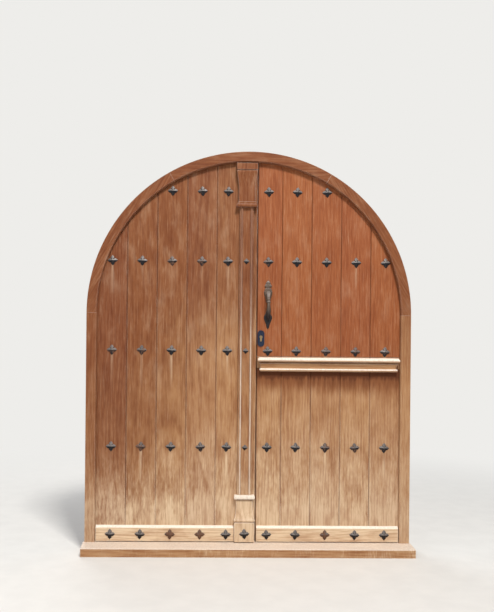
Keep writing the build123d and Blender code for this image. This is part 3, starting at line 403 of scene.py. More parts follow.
def seam_group():
    """Adds dirt in the seams, pale trails under the studs, and kept varnish, stains and a painted shadow
    under the ledge.
    """
    inputs = [("Vector", "Vector"), ("Color", "Color"), ("Dirt", "Color"), ("Pale", "Color")]
    inputs += [("Kept", "Color"), ("First seam", "Float"), ("Width", "Float")]
    tree, start, end = new_group("Seams and trails", inputs, [("Color", "Color")])
    get = start.outputs
    parts = node(tree, "ShaderNodeSeparateXYZ", {0: get["Vector"]})
    x, depth, height = parts.outputs["X"], parts.outputs["Y"], parts.outputs["Z"]
    groove = product(tree, ease(tree, depth, *DIRT_START), ease(tree, depth, *DIRT_END, 1.0, 0.0))
    uneven = ease(tree, noise(tree, get["Vector"], (3.0, 3.0, 1.6), 2.0), 0.3, 0.75, 0.1, 0.55)
    surface = mix(tree, product(tree, groove, uneven), get["Color"], get["Dirt"])

    # Across: how far it is to the middle of the nearest column of studs
    beyond = calc(tree, "SUBTRACT", calc(tree, "ABSOLUTE", x), get["First seam"])
    share = calc(tree, "FRACT", calc(tree, "DIVIDE", beyond, get["Width"]))
    across = calc(tree, "ABSOLUTE", calc(tree, "SUBTRACT", share, 0.5))
    across = product(tree, across, get["Width"])
    across = calc(tree, "ADD", across, calc(tree, "LESS_THAN", beyond, 0.0))
    for column in INNER_STUDS:
        away = calc(tree, "ABSOLUTE", calc(tree, "SUBTRACT", x, column))
        across = calc(tree, "MINIMUM", across, away)
    ragged = noise(tree, get["Vector"], (150.0, 150.0, 9.0), 2.0)
    narrow = ease(tree, stray(tree, ragged, 0.012, across), 0.001, 0.011, 1.0, 0.0)

    # Along: a trail starts at each row of studs and fades out further down
    trails = node(tree, "ShaderNodeValToRGB", {0: calc(tree, "DIVIDE", height, RAMP_END)})
    stops = trails.color_ramp.elements
    stops[0].position, stops[0].color = 0.0, (0, 0, 0, 1)
    stops[1].position, stops[1].color = 1.0, (0, 0, 0, 1)
    for row, most in TRAILS:
        for place, shade in ((row - 0.22, 0.0), (row - 0.05, most), (row - 0.02, most), (row, 0.0)):
            stop = stops.new(place / RAMP_END)
            stop.color = (shade, shade, shade, 1)
    trail = product(
        tree,
        narrow,
        trails.outputs["Color"],
        ease(tree, noise(tree, get["Vector"], (9.0, 1.0, 3.0), 1.0), 0.4, 0.6, 0.1, 1.0),
        ease(tree, ragged, 0.35, 0.65, 0.3, 1.0),
        ease(tree, depth, 0.002, 0.004, 1.0, 0.0),
    )
    surface = mix(tree, trail, surface, get["Pale"])

    # On the right leaf under the ledge: the varnish that it kept dry, stains that run down, and a painted
    # shadow in a band right under the ledge
    drips = noise(tree, get["Vector"], (42.0, 42.0, 5.0), 3.0, 0.6)
    right = calc(tree, "GREATER_THAN", x, MEETING_LINE)
    under_ledge = product(tree, calc(tree, "LESS_THAN", height, UNDER_LEDGE), right)
    dry = stray(tree, drips, 0.12, height)
    kept = product(tree, ease(tree, dry, 0.85, 0.945, 0.0, 0.88), under_ledge)
    surface = mix(tree, kept, surface, get["Kept"])
    stains = product(
        tree,
        ease(tree, height, 0.86, 0.995),
        under_ledge,
        ease(tree, drips, 0.42, 0.62, 0.2, 0.85),
    )
    # Painted shadow in a band right under the ledge, in the dirt colour
    painted_ledge_shadow = product(tree, ease(tree, dry, 0.935, 0.975, 0.0, 0.9), under_ledge)
    surface = mix(tree, calc(tree, "MAXIMUM", stains, painted_ledge_shadow), surface, get["Dirt"])
    tree.links.new(surface, end.inputs["Color"])
    return tree


def iron_group():
    """Hammered, blackened iron: worn spots, a painted highlight on faces turned up, rust and shallow
    dents.
    """
    inputs = [("Vector", "Vector"), ("Iron", "Color"), ("Worn", "Color"), ("Rust", "Color")]
    inputs += [("Rusted", "Float", 0.2)]
    outputs = [("Color", "Color"), ("Roughness", "Float"), ("Metallic", "Float"), ("Relief", "Float")]
    tree, start, end = new_group("Forged iron", inputs, outputs)
    get = start.outputs
    spots = noise(tree, get["Vector"], (70.0, 70.0, 70.0), 4.0, 0.6)
    fine = noise(tree, get["Vector"], (420.0, 420.0, 420.0), 3.0, 0.6)
    normal = node(tree, "ShaderNodeNewGeometry").outputs["Normal"]
    up = node(tree, "ShaderNodeSeparateXYZ", {0: normal}).outputs["Z"]
    # Worn spots, and a painted highlight on faces turned up, both in the worn colour
    rubbed_and_highlit = calc(tree, "MULTIPLY", spots, 0.6)
    rubbed_and_highlit = calc(tree, "MULTIPLY_ADD", ease(tree, up, 0.0, 0.35), 0.5, rubbed_and_highlit)
    surface = mix(tree, ease(tree, rubbed_and_highlit, 0.35, 0.95, 0.0, 0.52), get["Iron"], get["Worn"])
    level = calc(tree, "MULTIPLY_ADD", fine, 0.35, spots)
    level = calc(tree, "ADD", level, get["Rusted"])
    rusted = ease(tree, level, 0.86, 1.1)
    tree.links.new(mix(tree, rusted, surface, get["Rust"]), end.inputs["Color"])
    rough = calc(tree, "MULTIPLY_ADD", fine, 0.25, 0.38)
    tree.links.new(calc(tree, "MULTIPLY_ADD", rusted, 0.3, rough), end.inputs["Roughness"])
    tree.links.new(calc(tree, "MULTIPLY_ADD", rusted, -0.3, 0.4), end.inputs["Metallic"])
    dents = node(tree, "ShaderNodeTexVoronoi", {"Vector": get["Vector"], "Scale": 95.0})
    dents.feature = "SMOOTH_F1"
    relief = calc(tree, "MULTIPLY_ADD", fine, 0.3, dents.outputs["Distance"])
    tree.links.new(relief, end.inputs["Relief"])
    return tree


GROUPS = {}


def shared(name, make):
    """A group that is built once and then placed in every material that uses it."""
    if name not in GROUPS:
        GROUPS[name] = make()
    return GROUPS[name]


def start_material(name):
    """A material with its shader and its coordinates. Returns material, tree, shader and vector."""
    material = bpy.data.materials.new(name)
    material.use_nodes = True
    tree = material.node_tree
    shader = tree.nodes["Principled BSDF"]
    vector = node(tree, "ShaderNodeTexCoord").outputs["Object"]
    return material, tree, shader, vector


def use(tree, group, inputs):
    """Place a shared group in a tree."""
    return node(tree, "ShaderNodeGroup", inputs, node_tree=group).outputs


def bump(tree, height, distance, strength=1.0, rounding=0.001):
    """A normal from a relief of this depth in metres, with the edges rounded by a radius."""
    rounded = node(tree, "ShaderNodeBevel", {"Radius": rounding}).outputs[0]
    inputs = {"Strength": strength, "Distance": distance, "Height": height, "Normal": rounded}
    return node(tree, "ShaderNodeBump", inputs).outputs["Normal"]


def wood(
    name, wood_settings, turn=(0, 0, 0), seed=0.0, wear=0.5, bleach=0.8, proud=-1.0, rim=-1.0, cap=10.0,
    boards=False, varnished=None, figured=1.0
):
    """Weathered wood. turn is the rotation that brings the piece's grain upright.

    proud, rim and cap are as in the weathering group, and boards adds the seams and the rain's trails.
    """
    material, tree, shader, vector = start_material(name)
    along = node(tree, "ShaderNodeMapping", {"Vector": vector, "Rotation": turn}).outputs[0]
    number = seed
    if boards:
        sizes = {"First seam": wood_settings.first_seam, "Width": wood_settings.board_width}
        board = use(tree, shared("board", board_group), {"Vector": vector, **sizes})
        number = calc(tree, "ADD", board["Number"], seed)
    grain = use(tree, shared("grain", grain_group), {"Vector": along, "Seed": number})
    weather = use(
        tree,
        shared("weather", weather_group),
        {
            "Vector": vector,
            "Seed": number,
            "Varnished": varnished or wood_settings.varnished,
            "Weathered": wood_settings.weathered,
            "Bleached": wood_settings.bleached,
            "Stained": wood_settings.stain_and_shade,
            "Sheltered": wood_settings.sheltered,
            "Wear": wear,
            "Bleach": bleach,
            "Proud": proud,
            "Rim": rim,
            "Cap": cap,
        },
    )
    surface = weather["Color"]
    dark, light = linear(188, 143, 110), linear(248, 224, 190)
    for part, low, high, most in (
        ("Figure", 0.32, 0.56, 0.36 * figured),
        ("Blotch", 0.28, 0.56, 0.4 * figured),
        ("Fibre", 0.35, 0.55, 0.3),
    ):
        surface = mix(tree, ease(tree, grain[part], low, high, most, 0.0), surface, dark, "MULTIPLY")
    for part, most in (("Blotch", 0.08 * figured), ("Fibre", 0.16)):
        surface = mix(tree, ease(tree, grain[part], 0.5, 0.75, 0.0, most), surface, light)
    surface = mix(tree, weather["Bare"], surface, wood_settings.crest_and_highlight)
    if boards:
        random = node(tree, "ShaderNodeTexWhiteNoise", {"W": number}, noise_dimensions="1D")
        surface = node(
            tree,
            "ShaderNodeHueSaturation",
            {
                "Hue": ease(tree, random.outputs["Value"], 0.0, 1.0, 0.498, 0.502),
                "Value": ease(tree, random.outputs["Value"], 0.0, 1.0, 0.95, 1.04),
                "Color": surface,
            },
        ).outputs["Color"]
        surface = use(
            tree,
            shared("seam", seam_group),
            {
                "Vector": vector,
                "Color": surface,
                "Dirt": wood_settings.stain_and_shade,
                "Pale": wood_settings.bleached,
                "Kept": wood_settings.varnished,
                **sizes,
            },
        )["Color"]
    tree.links.new(surface, shader.inputs["Base Color"])
    rough = ease(tree, weather["Worn"], 0.0, 1.0, 0.56, 0.84)
    tree.links.new(rough, shader.inputs["Roughness"])
    shader.inputs["Specular IOR Level"].default_value = 0.22
    normal = bump(tree, grain["Relief"], 0.0009, wood_settings.grain, 0.002)
    tree.links.new(normal, shader.inputs["Normal"])
    return material


def iron(name, iron_settings, rusted=0.2, attribute=None, shade=None, shade_below=None):
    """Forged iron. An attribute of the piece adds rust, and painted shade darkens the iron under a height.
    """
    material, tree, shader, vector = start_material(name)
    level = rusted
    if attribute:
        extra = node(tree, "ShaderNodeAttribute", attribute_name=attribute).outputs["Fac"]
        level = calc(tree, "ADD", extra, rusted)
    forged = use(
        tree,
        shared("iron", iron_group),
        {
            "Vector": vector,
            "Iron": shade or iron_settings.iron,
            "Worn": iron_settings.worn,
            "Rust": iron_settings.rust,
            "Rusted": level,
        },
    )
    surface = forged["Color"]
    if shade_below:
        # Painted shade: the iron darkens under this height
        height = node(tree, "ShaderNodeSeparateXYZ", {0: vector}).outputs["Z"]
        painted_shade = ease(tree, height, shade_below - 0.03, shade_below + 0.03, 0.9, 0.0)
        surface = mix(tree, painted_shade, surface, iron_settings.iron)
    tree.links.new(surface, shader.inputs["Base Color"])
    for key in ("Roughness", "Metallic"):
        tree.links.new(forged[key], shader.inputs[key])
    tree.links.new(bump(tree, forged["Relief"], 0.0006), shader.inputs["Normal"])
    return material


def plain_metal(name, shade, roughness):
    """A turned or sawn metal with fine scratches and darker, duller patches."""
    material, tree, shader, vector = start_material(name)
    patches = noise(tree, vector, (90.0, 90.0, 90.0), 4.0)
    scratches = noise(tree, vector, (300.0, 300.0, 2600.0), 2.0)
    dull = mix(tree, ease(tree, patches, 0.4, 0.8, 0.0, 0.45), shade, linear(84, 74, 60))
    tree.links.new(dull, shader.inputs["Base Color"])
    shader.inputs["Metallic"].default_value = 0.8
    rough = calc(tree, "MULTIPLY_ADD", patches, 0.3, roughness)
    tree.links.new(rough, shader.inputs["Roughness"])
    tree.links.new(bump(tree, scratches, 0.0001), shader.inputs["Normal"])
    return material


def dress(material, *names):
    """Give CAD nodes a material."""
    for name in names:
        for slot in NODES[name].material_slots:
            slot.material = material


# Meshes
def solids(name):
    """The lowest and highest corners of each separate solid of a CAD node."""
    shape = bmesh.new()
    shape.from_mesh(NODES[name].data)
    bmesh.ops.remove_doubles(shape, verts=shape.verts, dist=1e-5)
    found, seen = [], set()
    for vertex in shape.verts:
        if vertex in seen:
            continue
        seen.add(vertex)
        group, waiting = [], [vertex]
        while waiting:
            here = waiting.pop()
            group.append(here.co.copy())
            for edge in here.link_edges:
                other = edge.other_vert(here)
                if other not in seen:
                    seen.add(other)
                    waiting.append(other)
        low = Vector([min(point[axis] for point in group) for axis in range(3)])
        high = Vector([max(point[axis] for point in group) for axis in range(3)])
        found.append((low, high))
    shape.free()
    return found


def new_object(name, shape, materials, smooth_angle=None):
    """An object at the origin from a bmesh, with its faces turned outward."""
    bmesh.ops.remove_doubles(shape, verts=shape.verts, dist=1e-6)
    bmesh.ops.recalc_face_normals(shape, faces=shape.faces)
    mesh = bpy.data.meshes.new(name)
    shape.to_mesh(mesh)
    shape.free()
    for material in materials:
        mesh.materials.append(material)
    if smooth_angle is not None:
        mesh.shade_smooth()
        mesh.set_sharp_from_angle(angle=math.radians(smooth_angle))
    piece = bpy.data.objects.new(name, mesh)
    bpy.context.scene.collection.objects.link(piece)
    return piece


def polar_relief(outline, relief, rings, steps):
    """A closed relief on the plane y = 0 that stands out along -Y. outline gives a radius by angle."""
    shape = bmesh.new()
    rows = []
    for ring in rings:
        row = []
        for step in range(steps):
            angle = TAU * step / steps
            radius = outline(angle) * ring
            x, z = radius * math.cos(angle), radius * math.sin(angle)
            row.append(shape.verts.new((x, -relief(x, z, ring), z)))
        rows.append(row)
    rows.append([shape.verts.new((vertex.co.x, 0.0, vertex.co.z)) for vertex in rows[-1]])
    top = shape.verts.new((0, -relief(0, 0, 0), 0))
    for step in range(steps):
        after = (step + 1) % steps
        shape.faces.new((top, rows[0][step], rows[0][after]))
        for inner, outer in zip(rows, rows[1:]):
            shape.faces.new((inner[step], outer[step], outer[after], inner[after]))
    shape.faces.new(rows[-1])
    return shape


def petal_stud(settings, reach, boss):
    """A forged stud: a four-sided point whose rim is notched between four blunt petals."""
    notch_spread, tip_spread, blunt = 0.34, 0.12, 0.93
    notch_depth = 1 - settings.petal_notch / (reach * math.sqrt(0.5))
    rim, groove, half_groove, groove_start = 0.002, 0.0018, 0.004, 0.3
    thinnest, edge_height, edge_slope = 0.0016, 0.0018, 0.045

    def outline(angle):
        off = abs((angle + TAU / 8) % (TAU / 4) - TAU / 8)
        petal = reach / (math.cos(off) + math.sin(off))
        near = min(1.0, (TAU / 8 - off) / notch_spread)
        tip = reach * (blunt + (1 - blunt) * max(0.0, 1 - off / tip_spread) ** 0.5)
        return min(petal, tip) * (1 - notch_depth * (1 + math.cos(near * math.pi)) / 2)

    def relief(x, z, ring):
        slope = boss - (boss - rim) * (abs(x) + abs(z)) / reach
        deepening = min(1.0, max(0.0, ring - groove_start) * 3)
        between = max(0.0, 1 - abs(abs(x) - abs(z)) / half_groove) * deepening
        edge = edge_height + (1 - ring) * edge_slope
        return max(thinnest, min(slope - groove * between, edge))

    return polar_relief(outline, relief, (0.1, 0.2, 0.3, 0.4, 0.52, 0.66, 0.8, 0.92, 1.0), 72)


def point_stud(reach, boss):
    """A small stud with a square base and a four-sided point."""
    rim = 0.0012

    def outline(angle):
        return reach / (abs(math.cos(angle)) + abs(math.sin(angle)))

    def relief(x, z, ring):
        return rim + (boss - rim) * (1 - ring) ** 0.92

    return polar_relief(outline, relief, (0.2, 0.4, 0.6, 0.8, 0.93, 1.0), 32)


def eased_along(pairs, share):
    """The value at a share of the way, eased between pairs of share and value."""
    for (low, first), (high, second) in zip(pairs, pairs[1:]):
        if share <= high:
            blend = (share - low) / (high - low)
            return first + (second - first) * (1 - math.cos(blend * math.pi)) / 2
    return pairs[-1][1]


def forged_leaf(shape, middle, foot, top, sides, crown, flutes=0.0):
    """Adds a domed leaf on the boards. sides are pairs of share of the height and half width."""
    rows, columns = 30, 18
    thinnest = 0.0016
    widest = max(wide for _, wide in sides)

    def point(row, column, depth):
        share, across = row / rows, 2 * column / columns - 1
        half = eased_along(sides, share)
        dome = crown * (1 - across ** 2) ** 0.5 * (0.35 + 0.65 * half / widest)
        groove = flutes * (1 - math.cos(across * 3 * TAU / 2)) / 2 * (1 - across ** 4)
        out = depth * (thinnest + dome - groove)
        return shape.verts.new((middle + half * across, -out, foot + (top - foot) * share))

    front = [[point(row, column, 1) for column in range(columns + 1)] for row in range(rows + 1)]
    back = [[point(row, column, 0) for column in range(columns + 1)] for row in range(rows + 1)]
    for row in range(rows):
        for column in range(columns):
            for grid in (front, back):
                low, high = grid[row], grid[row + 1]
                shape.faces.new((low[column], low[column + 1], high[column + 1], high[column]))
        for side in (0, columns):
            shape.faces.new(
                (front[row][side], front[row + 1][side], back[row + 1][side], back[row][side])
            )
    for row in (0, rows):
        low, high = front[row], back[row]
        for column in range(columns):
            shape.faces.new((low[column], low[column + 1], high[column + 1], high[column]))


def forged_grip(shape, middle, foot, top, reach, radii, sides=20, steps=72):
    """Adds a grip that bows out from the boards. radii are pairs of share from the top and radius."""
    half = (top - foot) / 2
    bow = (half ** 2 + reach ** 2) / (2 * reach)
    widest = math.asin(half / bow)

    rows = []
    for step in range(steps + 1):
        share = step / steps
        turn = widest * (1 - 2 * share)
        out = Vector((0, -math.cos(turn), math.sin(turn)))
        centre = Vector((middle, bow - reach, (foot + top) / 2)) + out * bow
        radius = eased_along(radii, share)
        row = []
        for side in range(sides):
            angle = TAU * side / sides
            hammered = 1 + 0.05 * math.cos(8 * angle)
            away = Vector((math.cos(angle), 0, 0)) + out * math.sin(angle)
            place = centre + away * radius * hammered
            row.append(shape.verts.new((place.x, min(place.y, -0.0005), place.z)))
        rows.append(row)
    for row, after in zip(rows, rows[1:]):
        for side in range(sides):
            beside = (side + 1) % sides
            shape.faces.new((row[side], row[beside], after[beside], after[side]))
    shape.faces.new(rows[0])
    shape.faces.new(rows[-1])


# Geometry nodes
def spread_tree():
    """Sets a copy of one piece on every point, with slight turns and sizes of its own."""
    inputs = [
        ("Geometry", "Geometry"),
        ("Stud", "Object"),
        ("Unevenness", "Float"),
        ("Seed", "Int"),
        ("Finish", "Material"),
    ]
    outputs = [("Geometry", "Geometry")]
    tree, start, end = new_group("Driven studs", inputs, outputs, "GeometryNodeTree")
    get = start.outputs
    info = node(tree, "GeometryNodeObjectInfo", {"Object": get["Stud"]})
    turn = node(
        tree,
        "FunctionNodeRandomValue",
        {0: (-0.03, -0.16, -0.03), 1: (0.03, 0.16, 0.03), "Seed": get["Seed"]},
        data_type="FLOAT_VECTOR",
    )
    scale = {0: turn.outputs[0], "Scale": get["Unevenness"]}
    turned = node(tree, "ShaderNodeVectorMath", scale, operation="SCALE")
    size = node(tree, "FunctionNodeRandomValue", {2: 0.97, 3: 1.0, "Seed": get["Seed"]})
    copies = node(
        tree,
        "GeometryNodeInstanceOnPoints",
        {
            "Points": get["Geometry"],
            "Instance": info.outputs["Geometry"],
            "Rotation": turned.outputs[0],
            "Scale": size.outputs[1],
        },
    )
    real = node(tree, "GeometryNodeRealizeInstances", {0: copies.outputs[0]})
    finish = node(
        tree, "GeometryNodeSetMaterial", {"Geometry": real.outputs[0], "Material": get["Finish"]}
    )
    tree.links.new(finish.outputs[0], end.inputs[0])
    return tree


def rust_at(place):
    """How much rust is added to the stud at this place."""
    for across, height, added in BROWNED:
        if math.hypot(place.x - across, place.z - height) < SAME_STUD:
            return added
    return 0.0


def spread(name, stud, places, settings, finish, seed):
    """One plain mesh with a copy of the stud on every place."""
    mesh = bpy.data.meshes.new(name)
    mesh.from_pydata(places, [], [])
    values = mesh.attributes.new("rust", "FLOAT", "POINT")
    for value, place in zip(values.data, places):
        value.value = rust_at(place)
    points = bpy.data.objects.new(name, mesh)
    bpy.context.scene.collection.objects.link(points)
    modifier = points.modifiers.new("Driven studs", "NODES")
    tree = shared("spread", spread_tree)
    modifier.node_group = tree
    inputs = {"Stud": stud, "Unevenness": settings.stud_jitter, "Seed": seed, "Finish": finish}
    for item in tree.interface.items_tree:
        if item.in_out == "INPUT" and item.name in inputs:
            modifier[item.identifier] = inputs[item.name]
    bpy.context.view_layer.update()
    evaluated = points.evaluated_get(bpy.context.evaluated_depsgraph_get())
    result = bpy.data.meshes.new_from_object(evaluated)
    points.modifiers.clear()
    points.data = result
    return points


# Operators
class DOOR_OT_wood(bpy.types.Operator):
    """Finish the boards, the joinery behind them, the mouldings, the frame and the sill"""

    bl_idname = "door.wood"
    bl_label = "Wood"

    def execute(self, context):
        look = context.scene.door_wood
        quarter = math.pi / 2
        lying = (0, quarter, 0)

        # Boards
        left = wood("left_boards", look, seed=1.0, wear=0.61, bleach=0.75, boards=True)
        upper = wood(
            "upper_boards", look, seed=2.0, wear=0.2, bleach=0.2, boards=True,
            varnished=look.redder, figured=0.72
        )
        lower = wood("lower_boards", look, seed=3.0, wear=0.68, bleach=0.74, boards=True)
        for number in range(1, 6):
            dress(left, f"left_plank_{number}")
            dress(upper, f"upper_plank_{number}")
            dress(lower, f"lower_plank_{number}")

        # Framing
        upright = wood("framing_upright", look, seed=4.0)
        level = wood("framing_level", look, turn=lying, seed=5.0)
        for leaf in ("left", "upper", "lower"):
            dress(upright, f"{leaf}_hinge_stile", f"{leaf}_meeting_stile")
            dress(level, f"{leaf}_rails")
        dress(wood("left_arch_rail", look, turn=(0, -quarter / 2, 0), seed=6.0), "left_arch_rail")
        dress(wood("upper_arch_rail", look, turn=(0, quarter / 2, 0), seed=7.0), "upper_arch_rail")

        # Frame
        posts = wood("post_wood", look, seed=8.0, wear=0.6, bleach=0.5, figured=0.6)
        dress(posts, "left_post", "right_post")
        arch = (("arch_left", -quarter / 3), ("arch_crown", quarter), ("arch_right", quarter / 3))
        for number, (name, turn) in enumerate(arch):
            dress(wood(f"{name}_wood", look, turn=(0, turn, 0), seed=9.0 + number, wear=0.4), name)
        sill = wood(
            "sill_wood", look, turn=lying, seed=12.0, wear=-0.6, bleach=0.72, varnished=look.weathered
        )
        dress(sill, "sill")

        # Mouldings
        # The kick rails' top bevels turn almost white, partly as a painted highlight
        kick = wood("kick_wood", look, turn=lying, seed=13.0, wear=1.1, bleach=1.0)
        dress(kick, "left_kick_rail", "lower_kick_rail")
        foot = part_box("weather_ledge")[0].z
        # The ledge's nosing and bead turn almost white, partly as a painted highlight
        ledge = wood(
            "ledge_wood", look, turn=lying, seed=14.0, wear=0.35, bleach=0.95, proud=LEDGE_PROUD,
            rim=foot + DRIP_BEAD, cap=foot + NOSING_FOOT, varnished=look.weathered
        )
        dress(ledge, "weather_ledge")
        # The pilaster's beads turn almost white, partly as a painted highlight
        pilaster = wood(
            "pilaster_wood", look, seed=15.0, wear=0.48, bleach=0.54, proud=PILASTER_PROUD
        )
        dress(pilaster, "pilaster")
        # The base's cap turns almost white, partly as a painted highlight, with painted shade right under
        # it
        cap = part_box("pilaster_base")[1].z - BASE_CAP
        dress(wood("base_wood", look, seed=16.0, wear=1.0, bleach=0.86, cap=cap), "pilaster_base")
        dress(wood("capital_wood", look, seed=17.0, wear=0.3), "pilaster_capital")
        return {"FINISHED"}


class DOOR_OT_studs(bpy.types.Operator):
    """Drive the forged studs into the boards, the kick rails and the pilaster"""

    bl_idname = "door.studs"
    bl_label = "Studs"

    def execute(self, context):
        look = context.scene.door_iron
        finish = iron("stud_iron", look, 0.12, "rust")
        boss = -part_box("upper_studs")[0].y
        low, high = solids("upper_studs")[0]
        reach = (high.x - low.x) / 2
        stud = new_object("stud_pattern", petal_stud(look, reach, boss), [finish], 25)
        for seed, body in enumerate(("left", "upper", "lower")):
            places = []
            for low, high in solids(f"{body}_studs"):
                middle = (low + high) / 2
                places.append(Vector((middle.x, low.y + boss, middle.z)))
            piece = spread(f"{body}_petal_studs", stud, places, look, finish, seed)
            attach(piece, f"{body}_leaf")
            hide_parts(f"{body}_studs")
        bpy.data.objects.remove(stud)
        low, high = solids("pilaster_studs")[0]
        reach = (high.x - low.x) / 2
        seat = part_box("pilaster")[0].y + BEAD_DEPTH
        small = new_object("point_pattern", point_stud(reach, seat - low.y), [finish], 25)
        places = []
        for low, high in solids("pilaster_studs"):
            middle = (low + high) / 2
            places.append(Vector((middle.x, seat, middle.z)))
        piece = spread("pilaster_point_studs", small, places, look, finish, 7)
        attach(piece, "left_leaf")
        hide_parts("pilaster_studs")
        bpy.data.objects.remove(small)
        return {"FINISHED"}


class DOOR_OT_ironwork(bpy.types.Operator):
    """Finish the pull, the hinges, the bolts and the lock"""

    bl_idname = "door.ironwork"
    bl_label = "Ironwork"

    def execute(self, context):
        look = context.scene.door_iron
        forged = iron("forged_iron", look, 0.1)
        low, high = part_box("pull_handle")
        middle, foot, top = (low.x + high.x) / 2, low.z, high.z
        # Painted shade on the pull's lower leaf, below this height
        handled = iron("pull_iron", look, 0.14, shade=look.handled, shade_below=foot + 0.094)
        shape = bmesh.new()

        # The plates: a pointed tip, a fluted leaf under it, and a plain leaf at the foot
        tip = [(0, 0.013), (0.06, 0.015), (0.16, 0.0205), (0.6, 0.013), (1, 0.0008)]
        forged_leaf(shape, middle, top - 0.045, top, tip, crown=0.008)
        fluted = [(0, 0.009), (0.12, 0.0125), (0.66, 0.0235), (0.88, 0.0195), (1, 0.0135)]
        forged_leaf(shape, middle, top - 0.127, top - 0.0435, fluted, crown=0.0085, flutes=0.002)
        plain = [(0, 0.001), (0.12, 0.008), (0.62, 0.0228), (0.92, 0.012), (1, 0.009)]
        forged_leaf(shape, middle, foot, foot + 0.103, plain, crown=0.006)

        # The grip, with its rings near the upper end
        radii = [
            (0, 0.011), (0.1, 0.0145), (0.2, 0.011), (0.245, 0.0095), (0.265, 0.0125),
            (0.285, 0.0095), (0.305, 0.0118), (0.33, 0.0085), (0.36, 0.0085), (0.385, 0.0115),
            (0.41, 0.0082), (0.66, 0.0118), (0.85, 0.0095), (1, 0.0055),
        ]
        thickest = 0.0115
        forged_grip(shape, middle, foot + 0.047, foot + 0.204, -low.y - thickest, radii)
        pull = new_object("forged_pull", shape, [handled], 40)
        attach(pull, "upper_leaf")
        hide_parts("pull_handle")

        dress(forged, "pintles", "left_straps", "upper_straps", "lower_straps")
        dress(forged, "left_bolt_guides", "half_bolt_guides", "top_bolt_keep", "half_bolt_keep")
        dress(forged, "top_bolt", "bottom_bolt", "half_bolt")
        dress(iron("plate_iron", look, 0.0, shade=look.plate), "escutcheons")
        steel = plain_metal("lock_steel", look.steel, 0.25)
        dress(steel, "lock_case", "strike_plate", "deadbolt")
        dress(plain_metal("brass", look.brass, 0.2), "lock_cylinder", "key_plug")
        return {"FINISHED"}


def lamp(name, place, target, size, energy, shade=(1, 1, 1)):
    """A square area lamp that points at a target."""
    data = bpy.data.lights.new(name, "AREA")
    data.size = size
    data.energy = energy
    data.color = shade
    light = bpy.data.objects.new(name, data)
    light.location = place
    light.rotation_euler = (Vector(target) - Vector(place)).to_track_quat("-Z", "Y").to_euler()
    bpy.context.scene.collection.objects.link(light)


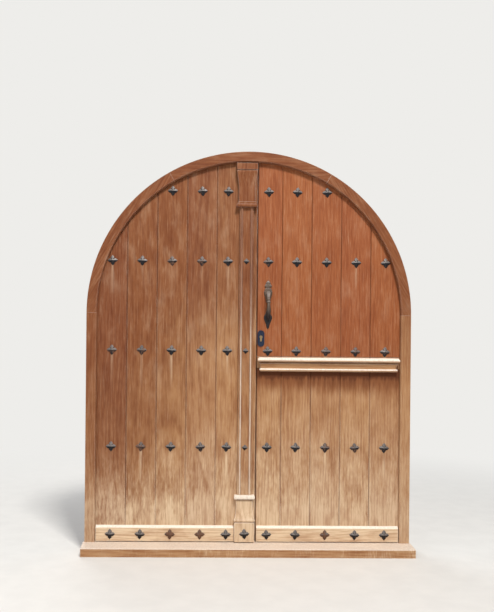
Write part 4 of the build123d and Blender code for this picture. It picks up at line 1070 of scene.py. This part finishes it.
class DOOR_OT_stage(bpy.types.Operator):
    """Set the floor, the lamps and the camera"""

    bl_idname = "door.stage"
    bl_label = "Stage"

    def execute(self, context):
        stage = context.scene.door_stage

        # Floor
        shape = bmesh.new()
        bmesh.ops.create_grid(shape, x_segments=1, y_segments=1, size=30)
        material, tree, shader, vector = start_material("floor")
        speckle = noise(tree, vector, (8.0, 8.0, 8.0), 3.0)
        pale = [channel * 0.96 for channel in stage.floor[:3]] + [1.0]
        surface = mix(tree, ease(tree, speckle, 0.3, 0.7), stage.floor, pale)
        tree.links.new(surface, shader.inputs["Base Color"])
        shader.inputs["Roughness"].default_value = 0.9
        away = node(tree, "ShaderNodeVectorMath", {0: vector}, operation="LENGTH").outputs["Value"]
        seen = node(tree, "ShaderNodeLightPath").outputs["Is Camera Ray"]
        fade = calc(tree, "MULTIPLY", ease(tree, away, 1.4, 4.2), seen)
        glow = node(tree, "ShaderNodeEmission", {"Color": stage.backdrop})
        blend = node(tree, "ShaderNodeMixShader", {0: fade, 1: shader.outputs[0], 2: glow.outputs[0]})
        tree.links.new(blend.outputs[0], tree.nodes["Material Output"].inputs["Surface"])
        floor = new_object("floor", shape, [material])

        # World
        world = bpy.data.worlds.new("studio")
        world.use_nodes = True
        context.scene.world = world
        tree = world.node_tree
        back = tree.nodes["Background"]
        seen = node(tree, "ShaderNodeLightPath")
        rays = [seen.outputs[f"Is {kind} Ray"] for kind in ("Camera", "Transmission")]
        either = calc(tree, "MAXIMUM", *rays)
        surface = mix(tree, either, linear(216, 220, 226), stage.backdrop)
        tree.links.new(surface, back.inputs["Color"])
        strength = calc(tree, "MULTIPLY_ADD", either, 0.55, 0.45)
        tree.links.new(strength, back.inputs["Strength"])

        # Lamps
        middle = (0, 0, 1.1)
        lamp("key", (1.0, -4.4, 7.2), middle, 1.4, 590, (1.0, 0.98, 0.94))
        lamp("fill", (-3.2, -4.0, 2.2), middle, 3.0, 45)
        lamp("back", (-1.5, 4.0, 3.4), middle, 2.6, 90)

        # Camera
        data = bpy.data.cameras.new("camera")
        data.lens = stage.camera_lens
        data.sensor_width = 36
        data.shift_x, data.shift_y = (pixels / PICTURE_HEIGHT for pixels in PICTURE_SHIFT)
        data.clip_end = 100
        camera = bpy.data.objects.new("camera", data)
        camera.location = (stage.camera_side, -stage.camera_distance, stage.camera_height)
        look = Matrix.Rotation(CAMERA_PAN, 4, "Z") @ Matrix.Rotation(math.pi / 2, 4, "X")
        camera.rotation_euler = (look @ Matrix.Rotation(CAMERA_ROLL, 4, "Z")).to_euler()
        context.scene.collection.objects.link(camera)
        context.scene.camera = camera
        context.scene.view_settings.view_transform = "Standard"
        return {"FINISHED"}


class DOOR_PT_sidebar(bpy.types.Panel):
    """Lists the steps that dress the door."""

    bl_label = "Arched plank door"
    bl_space_type = "VIEW_3D"
    bl_region_type = "UI"
    bl_category = "Door"

    def draw(self, context):
        for group, operators in STEPS:
            settings = getattr(context.scene, group)
            for key in settings.__annotations__:
                self.layout.prop(settings, key)
            for operator in operators:
                self.layout.operator(operator)


STEPS = [
    ("door_stage", ["door.stage"]),
    ("door_wood", ["door.wood"]),
    ("door_iron", ["door.studs", "door.ironwork"]),
]
SETTINGS = {"door_wood": DoorWood, "door_iron": DoorIron, "door_stage": DoorStage}
CLASSES = [
    DoorWood,
    DoorIron,
    DoorStage,
    DOOR_OT_wood,
    DOOR_OT_studs,
    DOOR_OT_ironwork,
    DOOR_OT_stage,
    DOOR_PT_sidebar,
]


def register():
    """Register the classes and hang the settings on the scene."""
    for entry in CLASSES:
        bpy.utils.register_class(entry)
    for name, group in SETTINGS.items():
        setattr(bpy.types.Scene, name, bpy.props.PointerProperty(type=group))


def unregister():
    """Take the settings and the classes away again."""
    for name in SETTINGS:
        delattr(bpy.types.Scene, name)
    for entry in reversed(CLASSES):
        bpy.utils.unregister_class(entry)


def main():
    """Run every step."""
    register()
    bpy.ops.door.stage()
    bpy.ops.door.wood()
    bpy.ops.door.studs()
    bpy.ops.door.ironwork()


if __name__ == "__main__":
    main()
